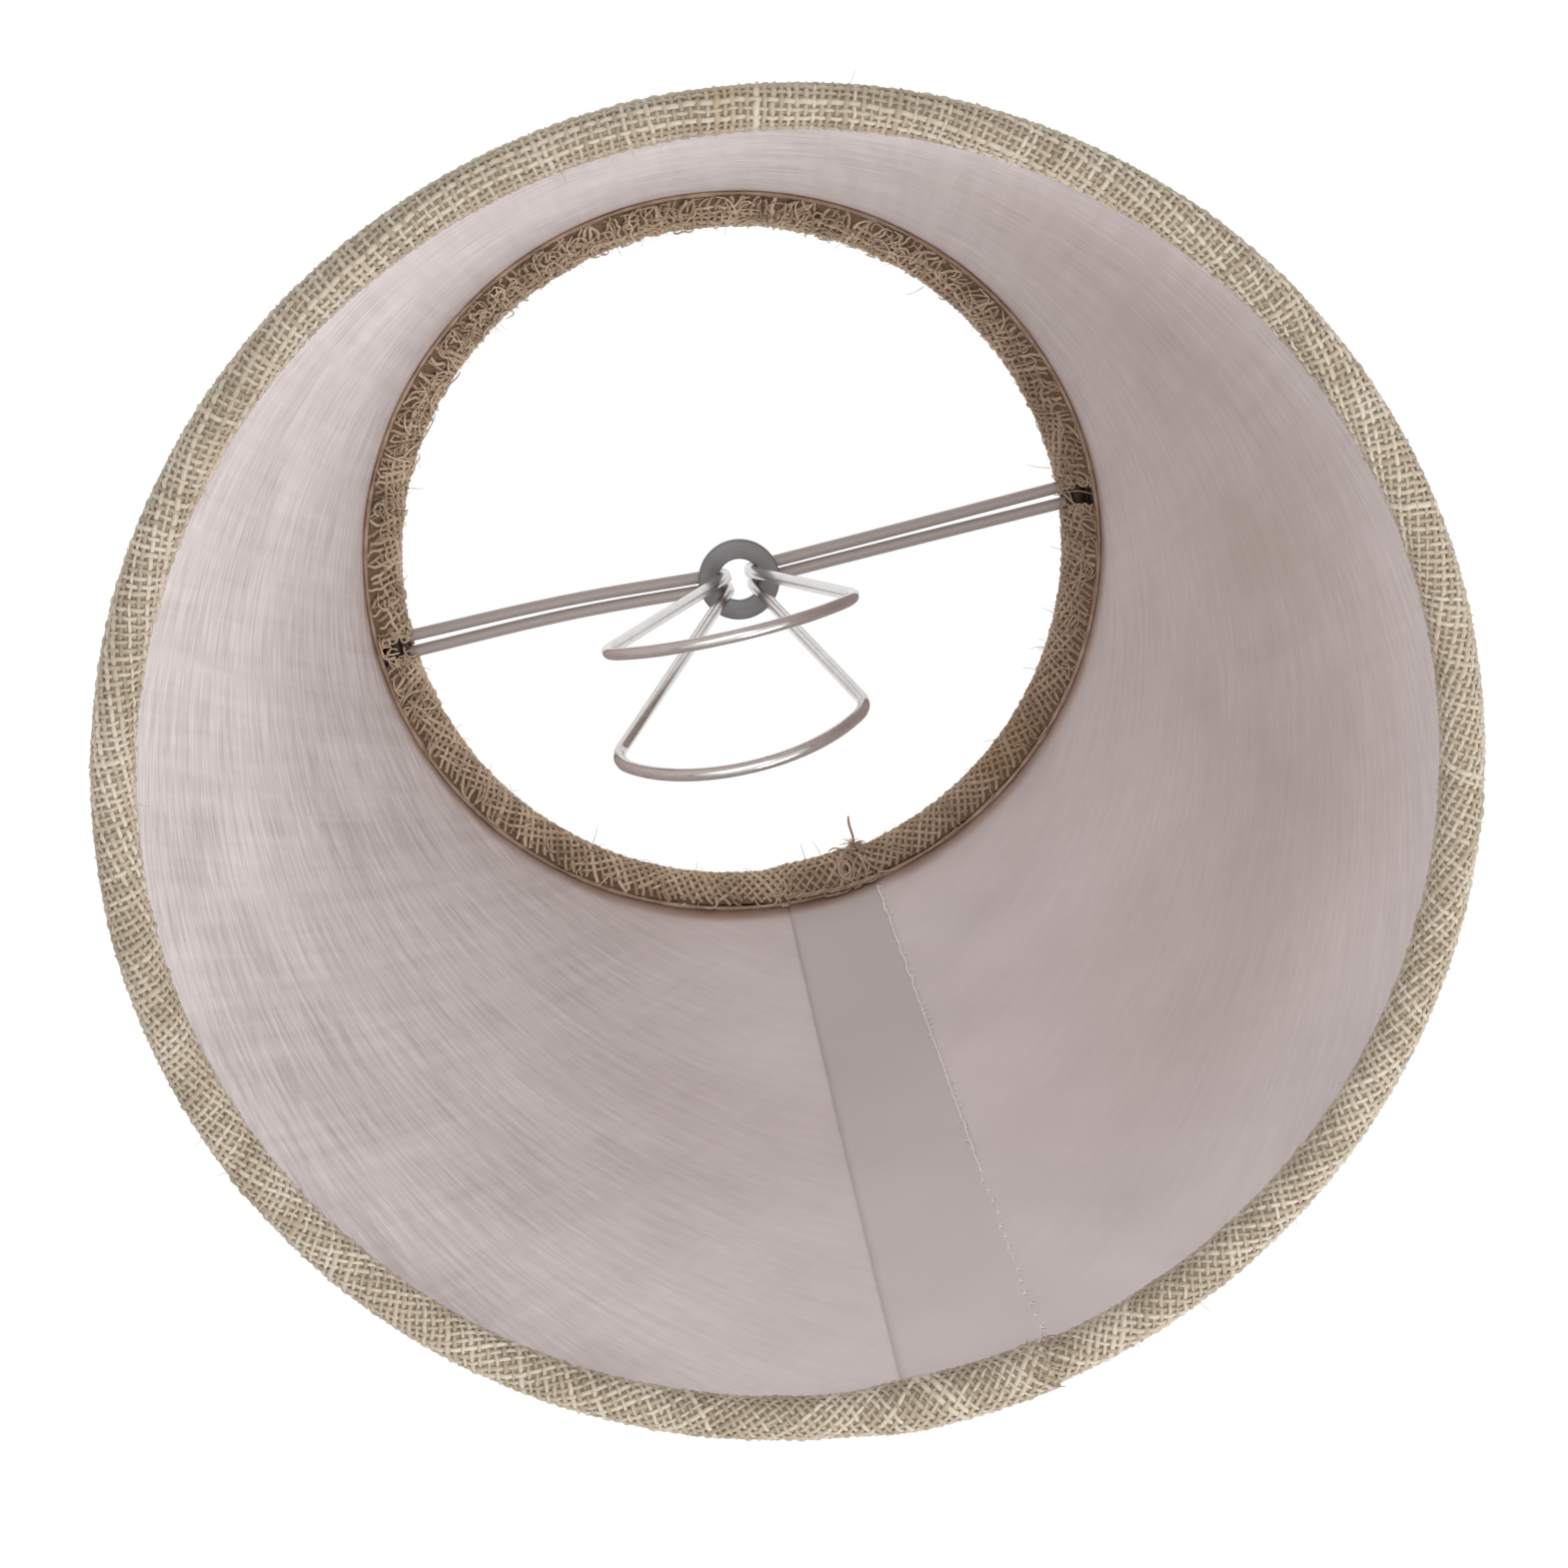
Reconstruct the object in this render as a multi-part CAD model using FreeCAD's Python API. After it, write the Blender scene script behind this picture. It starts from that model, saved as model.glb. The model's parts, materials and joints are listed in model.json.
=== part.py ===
"""Clip-on empire lamp shade: cloth over a film liner, two wire rings and a bulb-clip fitter.

Millimetres, +Z up. The origin is the centre of the lower rim, on the surface the shade stands on.
X runs along the crossbars, and the lap seam of the cloth is on the +Y side.
"""
import FreeCAD, Part
import math
import os

V = FreeCAD.Vector

# ---------------------------------------------------------------- driving dimensions
HEIGHT = 195.0              # lower rim to upper rim
BOTTOM_DIAMETER = 231.0     # over the lower hem
TOP_DIAMETER = 146.0        # over the upper hem

CLOTH = 1.0                 # thickness of the woven cloth
LINER = 0.4                 # thickness of the film liner
HEM_RADIUS = 3.8            # outside radius of the rolled hem about the ring's centre
HEM_TURN = 7.5              # how far the turned edge reaches along the wall from the ring's centre
RIM_FLAT = 0.15             # depth to which the lower hem is pressed flat where it stands
GLUE_RADIUS = 0.5           # bead of adhesive along the turned edge
GLUE_GAP = 0.02             # from the bead to the cloth and to the liner

BOTTOM_RING_WIRE = 4.0      # wire diameters
TOP_RING_WIRE = 3.2
FITTER_WIRE = 2.4

LAP_START = 79.3            # the lap seam, in degrees from +X
LAP_ANGLE = 13.0
LAP_TAPE = 0.2              # thickness of the tape between the two layers of cloth
LAP_END_GAP = 1.0           # from each end of the lap to the hem beside it

FITTER_OFFSET = 3.2         # the crossbars pass beside the centre of the ring, toward the seam
FITTER_DIP = 7.6            # how far the crossbars drop from the ring to the washer
BAR_HALF_GAP_AT_RING = 0.45
BAR_HALF_GAP_AT_MIDDLE = 0.25
BAR_HALF_GAP_AT_WASHER = 0.15
LEFT_BAR_BOW = 0.9          # how far the middle of the left crossbars bends toward -Y
BAR_BEND_RADIUS = 2.2       # centre line radius of the bend down through the washer
SLIT_CLEARANCE = 0.5        # from the crossbars to the edge of the slit in the hem
WELD_SHY = 0.3              # how much smaller the weld bead's radius is than a crossbar's

WASHER_OUTER = 16.0
WASHER_HOLE = 8.4
WASHER_THICKNESS = 1.6
WASHER_PLAY = 0.1           # from the wires to the rim of the hole
WASHER_SEAT = 0.25          # from the crossbars to the washer's upper face

LOOP_HEIGHT = 78.0          # from the loop's pivot to the bottom of its curve
LOOP_WIDTH = 46.6           # across the widest place, centre line to centre line
LOOP_BOTTOM_RADIUS = 27.0
LOOP_CORNER_RADIUS = 9.0
LOOP_PIVOT_GAP = 0.3        # between a crossbar's lower end and the leg it springs from
FRONT_SPLAY = 4.3           # rest angle of each loop from upright, in degrees
BACK_SPLAY = 12.2
FRONT_LEAN = 3.8            # how far the middle of each loop stands toward -X
BACK_LEAN = 6.2

# ---------------------------------------------------------------- worked-out sizes
RING_LOW = V(BOTTOM_DIAMETER / 2 - HEM_RADIUS, 0, HEM_RADIUS - RIM_FLAT)
RING_HIGH = V(TOP_DIAMETER / 2 - HEM_RADIUS, 0, HEIGHT - HEM_RADIUS)
WALL_LENGTH = (RING_HIGH - RING_LOW).Length
ALONG = (RING_HIGH - RING_LOW).normalize()
OUTWARD = V(ALONG.z, 0, -ALONG.x)

CLOTH_BACK = HEM_RADIUS - CLOTH        # inner face of the outer cloth, from the rings' centre line
LINER_FACE = CLOTH_BACK - LINER        # the liner's inner face, from the same line

WIRE = FITTER_WIRE / 2
WELD_RADIUS = WIRE - WELD_SHY
BAR_Y_AT_RING = WIRE + BAR_HALF_GAP_AT_RING
BAR_Y_AT_MIDDLE = WIRE + BAR_HALF_GAP_AT_MIDDLE
BAR_Y_AT_WASHER = WIRE + BAR_HALF_GAP_AT_WASHER
BAR_CENTRE_REACH = WASHER_HOLE / 2 - WASHER_PLAY - WIRE
BAR_X_AT_WASHER = math.sqrt(BAR_CENTRE_REACH ** 2 - BAR_Y_AT_WASHER ** 2)
BAR_Z_AT_WASHER = RING_HIGH.z - FITTER_DIP

WASHER_TOP = BAR_Z_AT_WASHER - WIRE - WASHER_SEAT
WASHER_BOTTOM = WASHER_TOP - WASHER_THICKNESS
PIVOT_Z = WASHER_BOTTOM - LOOP_PIVOT_GAP - WIRE

SIDES = {"left": -1, "right": 1}
FACES = {"front": -1, "back": 1}
AXIS = V(0, 0, 1)


# ---------------------------------------------------------------- helpers
def save(name, shape):
    """Write one node, and report its size."""
    shape.exportStep("parts/" + name + ".step")
    print("%-22s volume %9.1f  valid %s  solids %d" % (name, shape.Volume, shape.isValid(), len(shape.Solids)))


def wall_point(offset, along):
    """Point in the XZ plane: offset outward from the line through the ring centres, and along it."""
    return RING_LOW + OUTWARD * offset + ALONG * along


def revolved(edges, start=0.0, angle=360.0):
    """Solid of revolution about Z of a closed outline in the XZ plane."""
    face = Part.Face(Part.Wire(edges))
    solid = face.revolve(V(0, 0, 0), AXIS, angle)
    solid.rotate(V(0, 0, 0), AXIS, start)
    return solid


def strip(inner, outer, low, high, start=0.0, angle=360.0):
    """Layer of the wall between two offsets and two distances along it."""
    corners = [wall_point(inner, low), wall_point(outer, low), wall_point(outer, high), wall_point(inner, high)]
    outline = Part.makePolygon(corners + corners[:1])
    return revolved(outline.Edges, start, angle)


def swept(path):
    """Round wire of the fitter's diameter along a smooth path."""
    first = path.Edges[0]
    start = first.valueAt(first.FirstParameter)
    direction = first.tangentAt(first.FirstParameter)
    section = Part.Wire(Part.makeCircle(WIRE, start, direction))
    return path.makePipeShell([section], True, False)


# ---------------------------------------------------------------- shade
def hem_outline(ring_at, inward):
    """Edges of one rolled hem, from the outer wall round the ring to the turned edge and back.

    ring_at is the ring's place along the wall, and inward is +1 or -1, the way from it to the wall's middle.
    """
    def point(offset, along):
        return wall_point(offset, ring_at + inward * along)

    def on_circle(radius, angle):
        return point(radius * math.cos(angle), radius * math.sin(angle))

    edge = LINER_FACE - CLOTH
    lay = math.atan2(HEM_TURN, edge) + math.acos(HEM_RADIUS / math.hypot(edge, HEM_TURN))
    meets_liner = (CLOTH_BACK - LINER_FACE * math.cos(lay)) / math.sin(lay)
    below = -math.pi / 2
    far = math.pi
    return [
        Part.Arc(on_circle(HEM_RADIUS, 0), on_circle(HEM_RADIUS, below), on_circle(HEM_RADIUS, far)).toShape(),
        Part.Arc(on_circle(HEM_RADIUS, far), on_circle(HEM_RADIUS, (far + lay) / 2),
                 on_circle(HEM_RADIUS, lay)).toShape(),
        Part.makeLine(on_circle(HEM_RADIUS, lay), point(edge, HEM_TURN)),
        Part.makeLine(point(edge, HEM_TURN), point(LINER_FACE, HEM_TURN)),
        Part.makeLine(point(LINER_FACE, HEM_TURN), point(LINER_FACE, meets_liner)),
        Part.makeLine(point(LINER_FACE, meets_liner), on_circle(CLOTH_BACK, lay)),
        Part.Arc(on_circle(CLOTH_BACK, lay), on_circle(CLOTH_BACK, (far + lay) / 2),
                 on_circle(CLOTH_BACK, far)).toShape(),
        Part.Arc(on_circle(CLOTH_BACK, far), on_circle(CLOTH_BACK, below), on_circle(CLOTH_BACK, 0)).toShape(),
    ]


def liner_core():
    """Everything inside the liner's inner face, over the height of the upper hem."""
    low = wall_point(LINER_FACE, WALL_LENGTH - 2 * HEM_TURN)
    high = wall_point(LINER_FACE, WALL_LENGTH + HEM_RADIUS)
    return Part.makeCone(low.x, high.x, high.z - low.z, V(0, 0, low.z))


def slit_cutter(side):
    """Slit through the turned cloth, from its raw edge to just above the crossbars."""
    half_width = BAR_Y_AT_RING + WIRE + SLIT_CLEARANCE
    low = wall_point(LINER_FACE, WALL_LENGTH - HEM_TURN).z - CLOTH
    high = RING_HIGH.z + WIRE + SLIT_CLEARANCE
    reach = TOP_DIAMETER
    x_low = 0 if side > 0 else -reach
    block = Part.makeBox(reach, 2 * half_width, high - low, V(x_low, FITTER_OFFSET - half_width, low))
    return block.common(liner_core())


def fabric_cover():
    """Cloth cover in one piece: the outer wall, both rolled hems and the second layer of the lap."""
    lower = hem_outline(0, 1)
    upper = hem_outline(WALL_LENGTH, -1)
    outer_face = Part.makeLine(wall_point(HEM_RADIUS, 0), wall_point(HEM_RADIUS, WALL_LENGTH))
    inner_face = Part.makeLine(wall_point(CLOTH_BACK, 0), wall_point(CLOTH_BACK, WALL_LENGTH))
    wall = revolved(Part.sortEdges(lower + upper + [outer_face, inner_face])[0])
    for side in SIDES.values():
        wall = wall.cut(slit_cutter(side))
    under_floor = Part.makeBox(2 * BOTTOM_DIAMETER, 2 * BOTTOM_DIAMETER, HEM_RADIUS,
                               V(-BOTTOM_DIAMETER, -BOTTOM_DIAMETER, -HEM_RADIUS))
    return wall.cut(under_floor)


def lap_ends():
    """Where the lap of the cloth starts and stops along the wall."""
    start = HEM_RADIUS + LAP_END_GAP
    return start, WALL_LENGTH - start


def cover_lap():
    """Second layer of cloth over the lap seam."""
    low, high = lap_ends()
    return strip(HEM_RADIUS + LAP_TAPE, HEM_RADIUS + LAP_TAPE + CLOTH, low, high, LAP_START, LAP_ANGLE)


def seam_tape():
    """Double-sided tape between the two layers of cloth."""
    low, high = lap_ends()
    return strip(HEM_RADIUS, HEM_RADIUS + LAP_TAPE, low, high, LAP_START, LAP_ANGLE)


def shade_liner():
    """Film liner from ring to ring, with its own lap on the inside."""
    sheet = strip(LINER_FACE, CLOTH_BACK, 0, WALL_LENGTH)
    start = HEM_TURN + 2 * (GLUE_RADIUS + GLUE_GAP) + LAP_END_GAP
    lap = strip(LINER_FACE - LINER, LINER_FACE, start, WALL_LENGTH - start, LAP_START, LAP_ANGLE)
    return sheet.fuse(lap).removeSplitter()


def glue_line(along):
    """Bead of adhesive in the corner between a hem's turned edge and the liner."""
    centre = wall_point(LINER_FACE - GLUE_RADIUS - GLUE_GAP, along)
    return Part.makeTorus(centre.x, GLUE_RADIUS, V(0, 0, centre.z), AXIS)


def ring(centre, wire):
    """Closed wire ring."""
    return Part.makeTorus(centre.x, wire / 2, V(0, 0, centre.z), AXIS)


# ---------------------------------------------------------------- fitter
def bar_path(side, face):
    """Centre line of a crossbar: from the ring, along to the washer, and down through its hole."""
    def place(x, y, z):
        return V(side * x, FITTER_OFFSET + face * y, z)

    start = place(RING_HIGH.x, BAR_Y_AT_RING, RING_HIGH.z)
    middle = place(RING_HIGH.x / 2, BAR_Y_AT_MIDDLE, RING_HIGH.z - FITTER_DIP / 2)
    if side == SIDES["left"]:
        middle.y -= LEFT_BAR_BOW
    corner = place(BAR_X_AT_WASHER, BAR_Y_AT_WASHER, BAR_Z_AT_WASHER)
    foot = place(BAR_X_AT_WASHER, BAR_Y_AT_WASHER, WASHER_BOTTOM)
    back = middle - corner
    back.normalize()
    turn = math.acos(-back.dot(AXIS))
    reach = BAR_BEND_RADIUS / math.tan(turn / 2)
    bend_start = corner + back * reach
    bend_end = corner - AXIS * reach
    bisector = back - AXIS
    bisector.normalize()
    bend_middle = corner + bisector * (BAR_BEND_RADIUS / math.sin(turn / 2) - BAR_BEND_RADIUS)
    span = Part.BSplineCurve()
    span.interpolate(Points=[start, middle, bend_start], InitialTangent=middle - start, FinalTangent=-back)
    return Part.Wire([
        span.toShape(),
        Part.Arc(bend_start, bend_middle, bend_end).toShape(),
        Part.makeLine(bend_end, foot),
    ])


def crossbar(side, face):
    """One crossbar, its outer end coped to the ring."""
    return swept(bar_path(side, face)).cut(ring(RING_HIGH, TOP_RING_WIRE))


def washer():
    """Plain washer below the crossbars, with the four wires through its hole."""
    centre = V(0, FITTER_OFFSET, WASHER_BOTTOM)
    disc = Part.makeCylinder(WASHER_OUTER / 2, WASHER_THICKNESS, centre, AXIS)
    return disc.cut(Part.makeCylinder(WASHER_HOLE / 2, WASHER_THICKNESS, centre, AXIS))


def loop_path(face, splay, lean):
    """Centre line of a clip loop, from one leg's pivot round the bottom curve to the other's."""
    tilt = math.radians(splay)
    pivot = V(0, FITTER_OFFSET + face * BAR_Y_AT_WASHER, PIVOT_Z)
    down = V(0, face * math.sin(tilt), -math.cos(tilt))
    across = V(1, 0, 0)
    hub = LOOP_HEIGHT - LOOP_BOTTOM_RADIUS
    reach = LOOP_BOTTOM_RADIUS - LOOP_CORNER_RADIUS
    corner_across = LOOP_WIDTH / 2 - LOOP_CORNER_RADIUS
    corner_down = hub + math.sqrt(reach ** 2 - corner_across ** 2)

    def place(s, d):
        return pivot + across * s + down * d

    def leg(side):
        """Leg's top, its tangent point, the corner's middle and the start of the bottom curve."""
        top = (side * BAR_X_AT_WASHER, 0.0)
        centre = (side * corner_across - lean, corner_down)
        gap = (top[0] - centre[0], top[1] - centre[1])
        away = math.atan2(gap[1], gap[0]) + side * math.acos(LOOP_CORNER_RADIUS / math.hypot(*gap))
        join = math.atan2(corner_down - hub, side * corner_across)
        half = (away + join) / 2 if side > 0 else (away + 2 * math.pi + join) / 2

        def on_corner(angle):
            return place(centre[0] + LOOP_CORNER_RADIUS * math.cos(angle),
                         centre[1] + LOOP_CORNER_RADIUS * math.sin(angle))

        return place(*top), on_corner(away), on_corner(half), on_corner(join)

    right = leg(1)
    left = leg(-1)
    bottom = place(-lean, LOOP_HEIGHT)
    return Part.Wire([
        Part.makeLine(right[0], right[1]),
        Part.Arc(right[1], right[2], right[3]).toShape(),
        Part.Arc(right[3], bottom, left[3]).toShape(),
        Part.Arc(left[3], left[2], left[1]).toShape(),
        Part.makeLine(left[1], left[0]),
    ])


def clip_loop(face, splay, lean):
    """Sprung wire loop with a rounded end on each leg, where it turns."""
    path = loop_path(face, splay, lean)
    wire = swept(path)
    for side in SIDES.values():
        top = V(side * BAR_X_AT_WASHER, FITTER_OFFSET + face * BAR_Y_AT_WASHER, PIVOT_Z)
        wire = wire.fuse(Part.makeSphere(WIRE, top))
    return wire.removeSplitter()


def weld(side, bars):
    """Bead that joins a pair of crossbars to the ring."""
    half_length = BAR_Y_AT_RING + WIRE
    near = V(side * (RING_HIGH.x - TOP_RING_WIRE / 2), FITTER_OFFSET, RING_HIGH.z - WIRE)
    bead = Part.makeCylinder(WELD_RADIUS, 2 * half_length, near - V(0, half_length, 0), V(0, 1, 0))
    bead = bead.cut(ring(RING_HIGH, TOP_RING_WIRE))
    for bar in bars:
        bead = bead.cut(bar)
    return bead


def main():
    os.makedirs("parts", exist_ok=True)
    save("fabric_cover", fabric_cover())
    save("cover_lap", cover_lap())
    save("seam_tape", seam_tape())
    save("shade_liner", shade_liner())
    save("bottom_ring", ring(RING_LOW, BOTTOM_RING_WIRE))
    save("top_ring", ring(RING_HIGH, TOP_RING_WIRE))
    save("bottom_glue_line", glue_line(HEM_TURN + GLUE_RADIUS + GLUE_GAP))
    save("top_glue_line", glue_line(WALL_LENGTH - HEM_TURN - GLUE_RADIUS - GLUE_GAP))
    for side_name, side in SIDES.items():
        bars = {name: crossbar(side, face) for name, face in FACES.items()}
        for name, bar in bars.items():
            save("crossbar_" + side_name + "_" + name, bar)
        save("crossbar_weld_" + side_name, weld(side, bars.values()))
    save("fitter_washer", washer())
    save("clip_loop_front", clip_loop(FACES["front"], FRONT_SPLAY, FRONT_LEAN))
    save("clip_loop_back", clip_loop(FACES["back"], BACK_SPLAY, BACK_LEAN))


main()
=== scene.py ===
"""Looks of a clip-on empire lamp shade: coarse cloth over a film liner, on two wire rings.

Metres, +Z up, in the frame of the CAD model. X runs along the crossbars, and the lap seam is
on the +Y side. The cloth is laid out as one flat piece, a sector of a ring, and every yarn
runs straight on that flat piece, so the weave turns slowly round the shade as it does on a
real cone that is rolled from one cloth.
"""
import json
import logging
import math
import random
from collections.abc import Callable, Iterator, Sequence
from dataclasses import dataclass, field
from enum import Enum

import bmesh
import bpy
from mathutils import Matrix, Vector, geometry, noise


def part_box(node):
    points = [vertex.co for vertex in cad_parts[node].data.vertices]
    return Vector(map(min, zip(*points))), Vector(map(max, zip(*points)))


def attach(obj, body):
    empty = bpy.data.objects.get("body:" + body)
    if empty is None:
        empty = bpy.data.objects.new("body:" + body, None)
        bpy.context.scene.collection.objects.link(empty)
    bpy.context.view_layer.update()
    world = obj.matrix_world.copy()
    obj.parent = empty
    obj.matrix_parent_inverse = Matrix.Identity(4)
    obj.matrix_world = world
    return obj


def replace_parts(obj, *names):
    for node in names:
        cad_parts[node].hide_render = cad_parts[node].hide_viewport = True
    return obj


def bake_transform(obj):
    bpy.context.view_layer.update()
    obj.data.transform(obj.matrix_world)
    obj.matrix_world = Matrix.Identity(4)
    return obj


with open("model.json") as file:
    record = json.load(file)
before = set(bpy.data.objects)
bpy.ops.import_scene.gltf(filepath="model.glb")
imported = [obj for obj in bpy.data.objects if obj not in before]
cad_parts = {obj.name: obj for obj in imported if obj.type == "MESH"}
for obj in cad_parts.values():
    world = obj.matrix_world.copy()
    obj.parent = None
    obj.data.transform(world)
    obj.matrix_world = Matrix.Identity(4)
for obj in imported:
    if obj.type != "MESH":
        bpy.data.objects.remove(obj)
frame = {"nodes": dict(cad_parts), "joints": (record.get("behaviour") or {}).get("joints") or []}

LOG = logging.getLogger("lamp_shade")
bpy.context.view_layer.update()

MM = 0.001
TAU = 2 * math.pi
Z_AXIS = Vector((0, 0, 1))
FITTER_OFFSET = 3.2 * MM     # from the shade's axis to the middle of the fitter, toward the seam
WASHER_HOLE = 8.4 * MM


# ================================================================ node helpers
class Signal:
    """A node's output socket that takes arithmetic with numbers and other signals."""

    def __init__(self, tree: bpy.types.NodeTree, socket: bpy.types.NodeSocket) -> None:
        """Keep the socket and the tree it is in."""
        self.tree = tree
        self.socket = socket

    def math(self, operation: str, *others: "Signal | float", clamp: bool = False) -> "Signal":
        """Add a Math node.

        Args:
            operation: the node's operation.
            others: its second and third values.
            clamp: whether the result is held between 0 and 1.

        Returns:
            The node's result.
        """
        node = self.tree.nodes.new("ShaderNodeMath")
        node.operation = operation
        node.use_clamp = clamp
        for slot, value in enumerate((self,) + others):
            if isinstance(value, Signal):
                self.tree.links.new(value.socket, node.inputs[slot])
            else:
                node.inputs[slot].default_value = value
        return Signal(self.tree, node.outputs[0])

    def __add__(self, other: "Signal | float") -> "Signal":
        """Give self + other."""
        return self.math("ADD", other)

    __radd__ = __add__

    def __sub__(self, other: "Signal | float") -> "Signal":
        """Give self - other."""
        return self.math("SUBTRACT", other)

    def __rsub__(self, other: float) -> "Signal":
        """Give other - self."""
        return self.math("MULTIPLY_ADD", -1.0, other)

    def __mul__(self, other: "Signal | float") -> "Signal":
        """Give self * other."""
        return self.math("MULTIPLY", other)

    __rmul__ = __mul__

    def __truediv__(self, other: "Signal | float") -> "Signal":
        """Give self / other."""
        return self.math("DIVIDE", other)

    def held(self) -> "Signal":
        """Give the value held between 0 and 1."""
        return self.math("ADD", 0.0, clamp=True)

    def step(self, low: float, high: float) -> "Signal":
        """Give 0 below low, 1 above high and a smooth rise between.

        Args:
            low: where the rise starts.
            high: where it ends.

        Returns:
            The share risen.
        """
        node = self.tree.nodes.new("ShaderNodeMapRange")
        node.interpolation_type = "SMOOTHSTEP"
        self.tree.links.new(self.socket, node.inputs["Value"])
        node.inputs["From Min"].default_value = low
        node.inputs["From Max"].default_value = high
        return Signal(self.tree, node.outputs["Result"])


class Finish:
    """One material's node tree, round one Principled shader."""

    def __init__(self, name: str) -> None:
        """Start an empty material with its shader and output."""
        self.material = bpy.data.materials.new(name)
        self.material.use_nodes = True
        self.tree = self.material.node_tree
        self.tree.nodes.clear()
        self.shader = self.tree.nodes.new("ShaderNodeBsdfPrincipled")
        output = self.tree.nodes.new("ShaderNodeOutputMaterial")
        self.tree.links.new(self.shader.outputs[0], output.inputs["Surface"])

    def node(self, kind: str, settings: dict | None = None, inputs: dict | None = None) -> bpy.types.Node:
        """Add any node.

        Args:
            kind: the node's type.
            settings: its properties, and a ramp's stops under "stops".
            inputs: values or signals by socket name or number.

        Returns:
            The new node.
        """
        node = self.tree.nodes.new(kind)
        for key, value in (settings or {}).items():
            if key == "stops":
                self._stops(node.color_ramp, value)
            else:
                setattr(node, key, value)
        for key, value in (inputs or {}).items():
            self.feed(node.inputs[key], value)
        return node

    @staticmethod
    def _stops(ramp: bpy.types.ColorRamp, stops: Sequence[tuple]) -> None:
        """Give a colour ramp its stops, each a place and a colour.

        Args:
            ramp: the ramp.
            stops: each stop's place and colour.
        """
        while len(ramp.elements) < len(stops):
            ramp.elements.new(0.5)
        for element, (place, colour) in zip(ramp.elements, stops):
            element.position = place
            element.color = (*colour, 1.0)

    def feed(self, socket: bpy.types.NodeSocket, value: "Signal | float | Sequence[float]") -> None:
        """Link a signal to a socket, or set the socket's own value.

        Args:
            socket: the socket to set.
            value: a signal, a number, or a colour or vector.
        """
        if isinstance(value, Signal):
            self.tree.links.new(value.socket, socket)
        elif isinstance(value, (int, float)):
            socket.default_value = value
        elif len(value) == 3 and len(socket.default_value) == 4:
            socket.default_value = (*value, 1.0)
        else:
            socket.default_value = value

    def signal(self, node: bpy.types.Node, output: str | int = 0) -> Signal:
        """Give one output of a node as a signal."""
        return Signal(self.tree, node.outputs[output])

    def place(self) -> Signal:
        """Give the place on the object, in metres."""
        return self.signal(self.node("ShaderNodeTexCoord"), "Object")

    def flat_place(self) -> Signal:
        """Give the place on the flat cloth, in metres, from the piece's own UV map."""
        return self.signal(self.node("ShaderNodeTexCoord"), "UV")

    def split(self, vector: Signal) -> tuple[Signal, Signal, Signal]:
        """Give a vector's three parts."""
        node = self.node("ShaderNodeSeparateXYZ", inputs={0: vector})
        return self.signal(node, 0), self.signal(node, 1), self.signal(node, 2)

    def join(self, x: "Signal | float", y: "Signal | float", z: "Signal | float" = 0.0) -> Signal:
        """Give a vector from its three parts."""
        return self.signal(self.node("ShaderNodeCombineXYZ", inputs={0: x, 1: y, 2: z}))

    def stretched(self, vector: Signal, scale: Sequence[float], turn: float = 0.0) -> Signal:
        """Give a vector scaled along each axis, and turned about Z."""
        inputs = {"Vector": vector, "Scale": scale, "Rotation": (0, 0, turn)}
        return self.signal(self.node("ShaderNodeMapping", inputs=inputs))

    def noise(self, vector: Signal, scale: float, detail: float = 2.0, rough: float = 0.5) -> Signal:
        """Give smooth noise between 0 and 1, with scale features to the metre."""
        inputs = {"Vector": vector, "Scale": scale, "Detail": detail, "Roughness": rough}
        return self.signal(self.node("ShaderNodeTexNoise", {"noise_dimensions": "3D"}, inputs), 0)

    def blend(self, amount: "Signal | float", low: "Signal | Sequence[float]",
              high: "Signal | Sequence[float]") -> Signal:
        """Mix two colours.

        Args:
            amount: how much of the second, from 0 to 1.
            low: the first colour.
            high: the second.

        Returns:
            The mixed colour.
        """
        settings = {"data_type": "RGBA", "blend_type": "MIX", "clamp_factor": True}
        node = self.node("ShaderNodeMix", settings, {"Factor": amount, 6: low, 7: high})
        return self.signal(node, 2)

    def colours(self, amount: Signal, stops: Sequence[tuple]) -> Signal:
        """Give the colour of a ramp at an amount from 0 to 1."""
        node = self.node("ShaderNodeValToRGB", {"stops": stops}, {0: amount})
        return self.signal(node, 0)

    def relief(self, height: Signal, depth: float, strength: float = 1.0) -> Signal:
        """Give the normal of a bumpy surface whose height runs over depth, in metres."""
        inputs = {"Height": height, "Distance": depth, "Strength": strength}
        return self.signal(self.node("ShaderNodeBump", inputs=inputs))

    def surface(self, **sockets: "Signal | float | Sequence[float]") -> bpy.types.Material:
        """Set the shader's sockets, by name with _ for a space, and give the material.

        Args:
            sockets: values or signals by socket name.

        Returns:
            The material.
        """
        for name, value in sockets.items():
            self.feed(self.shader.inputs[name.replace("_", " ").title().replace("Ior", "IOR")], value)
        return self.material


# ================================================================ the shade's shape
class Family(Enum):
    """The two directions of the cloth's yarns on the flat piece."""

    ROUND = 0    # runs round the shade opposite the seam
    UP = 1       # runs up the wall opposite the seam


def ring_centre(node: str) -> Vector:
    """Give a wire ring's centre line as radius and height, from its CAD box.

    Args:
        node: the ring's node.

    Returns:
        Radius and height of the wire's middle.
    """
    low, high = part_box(node)
    wire = (high.z - low.z) / 2
    return Vector(((high.x - low.x) / 2 - wire, (high.z + low.z) / 2))


def polar(radius: float, angle: float, height: float) -> Vector:
    """Give the point at a radius and an angle round Z, at a height."""
    return Vector((radius * math.cos(angle), radius * math.sin(angle), height))


def any_way(chance: random.Random) -> Vector:
    """Give a vector that points any way."""
    return Vector((chance.gauss(0, 1), chance.gauss(0, 1), chance.gauss(0, 1)))


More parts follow.
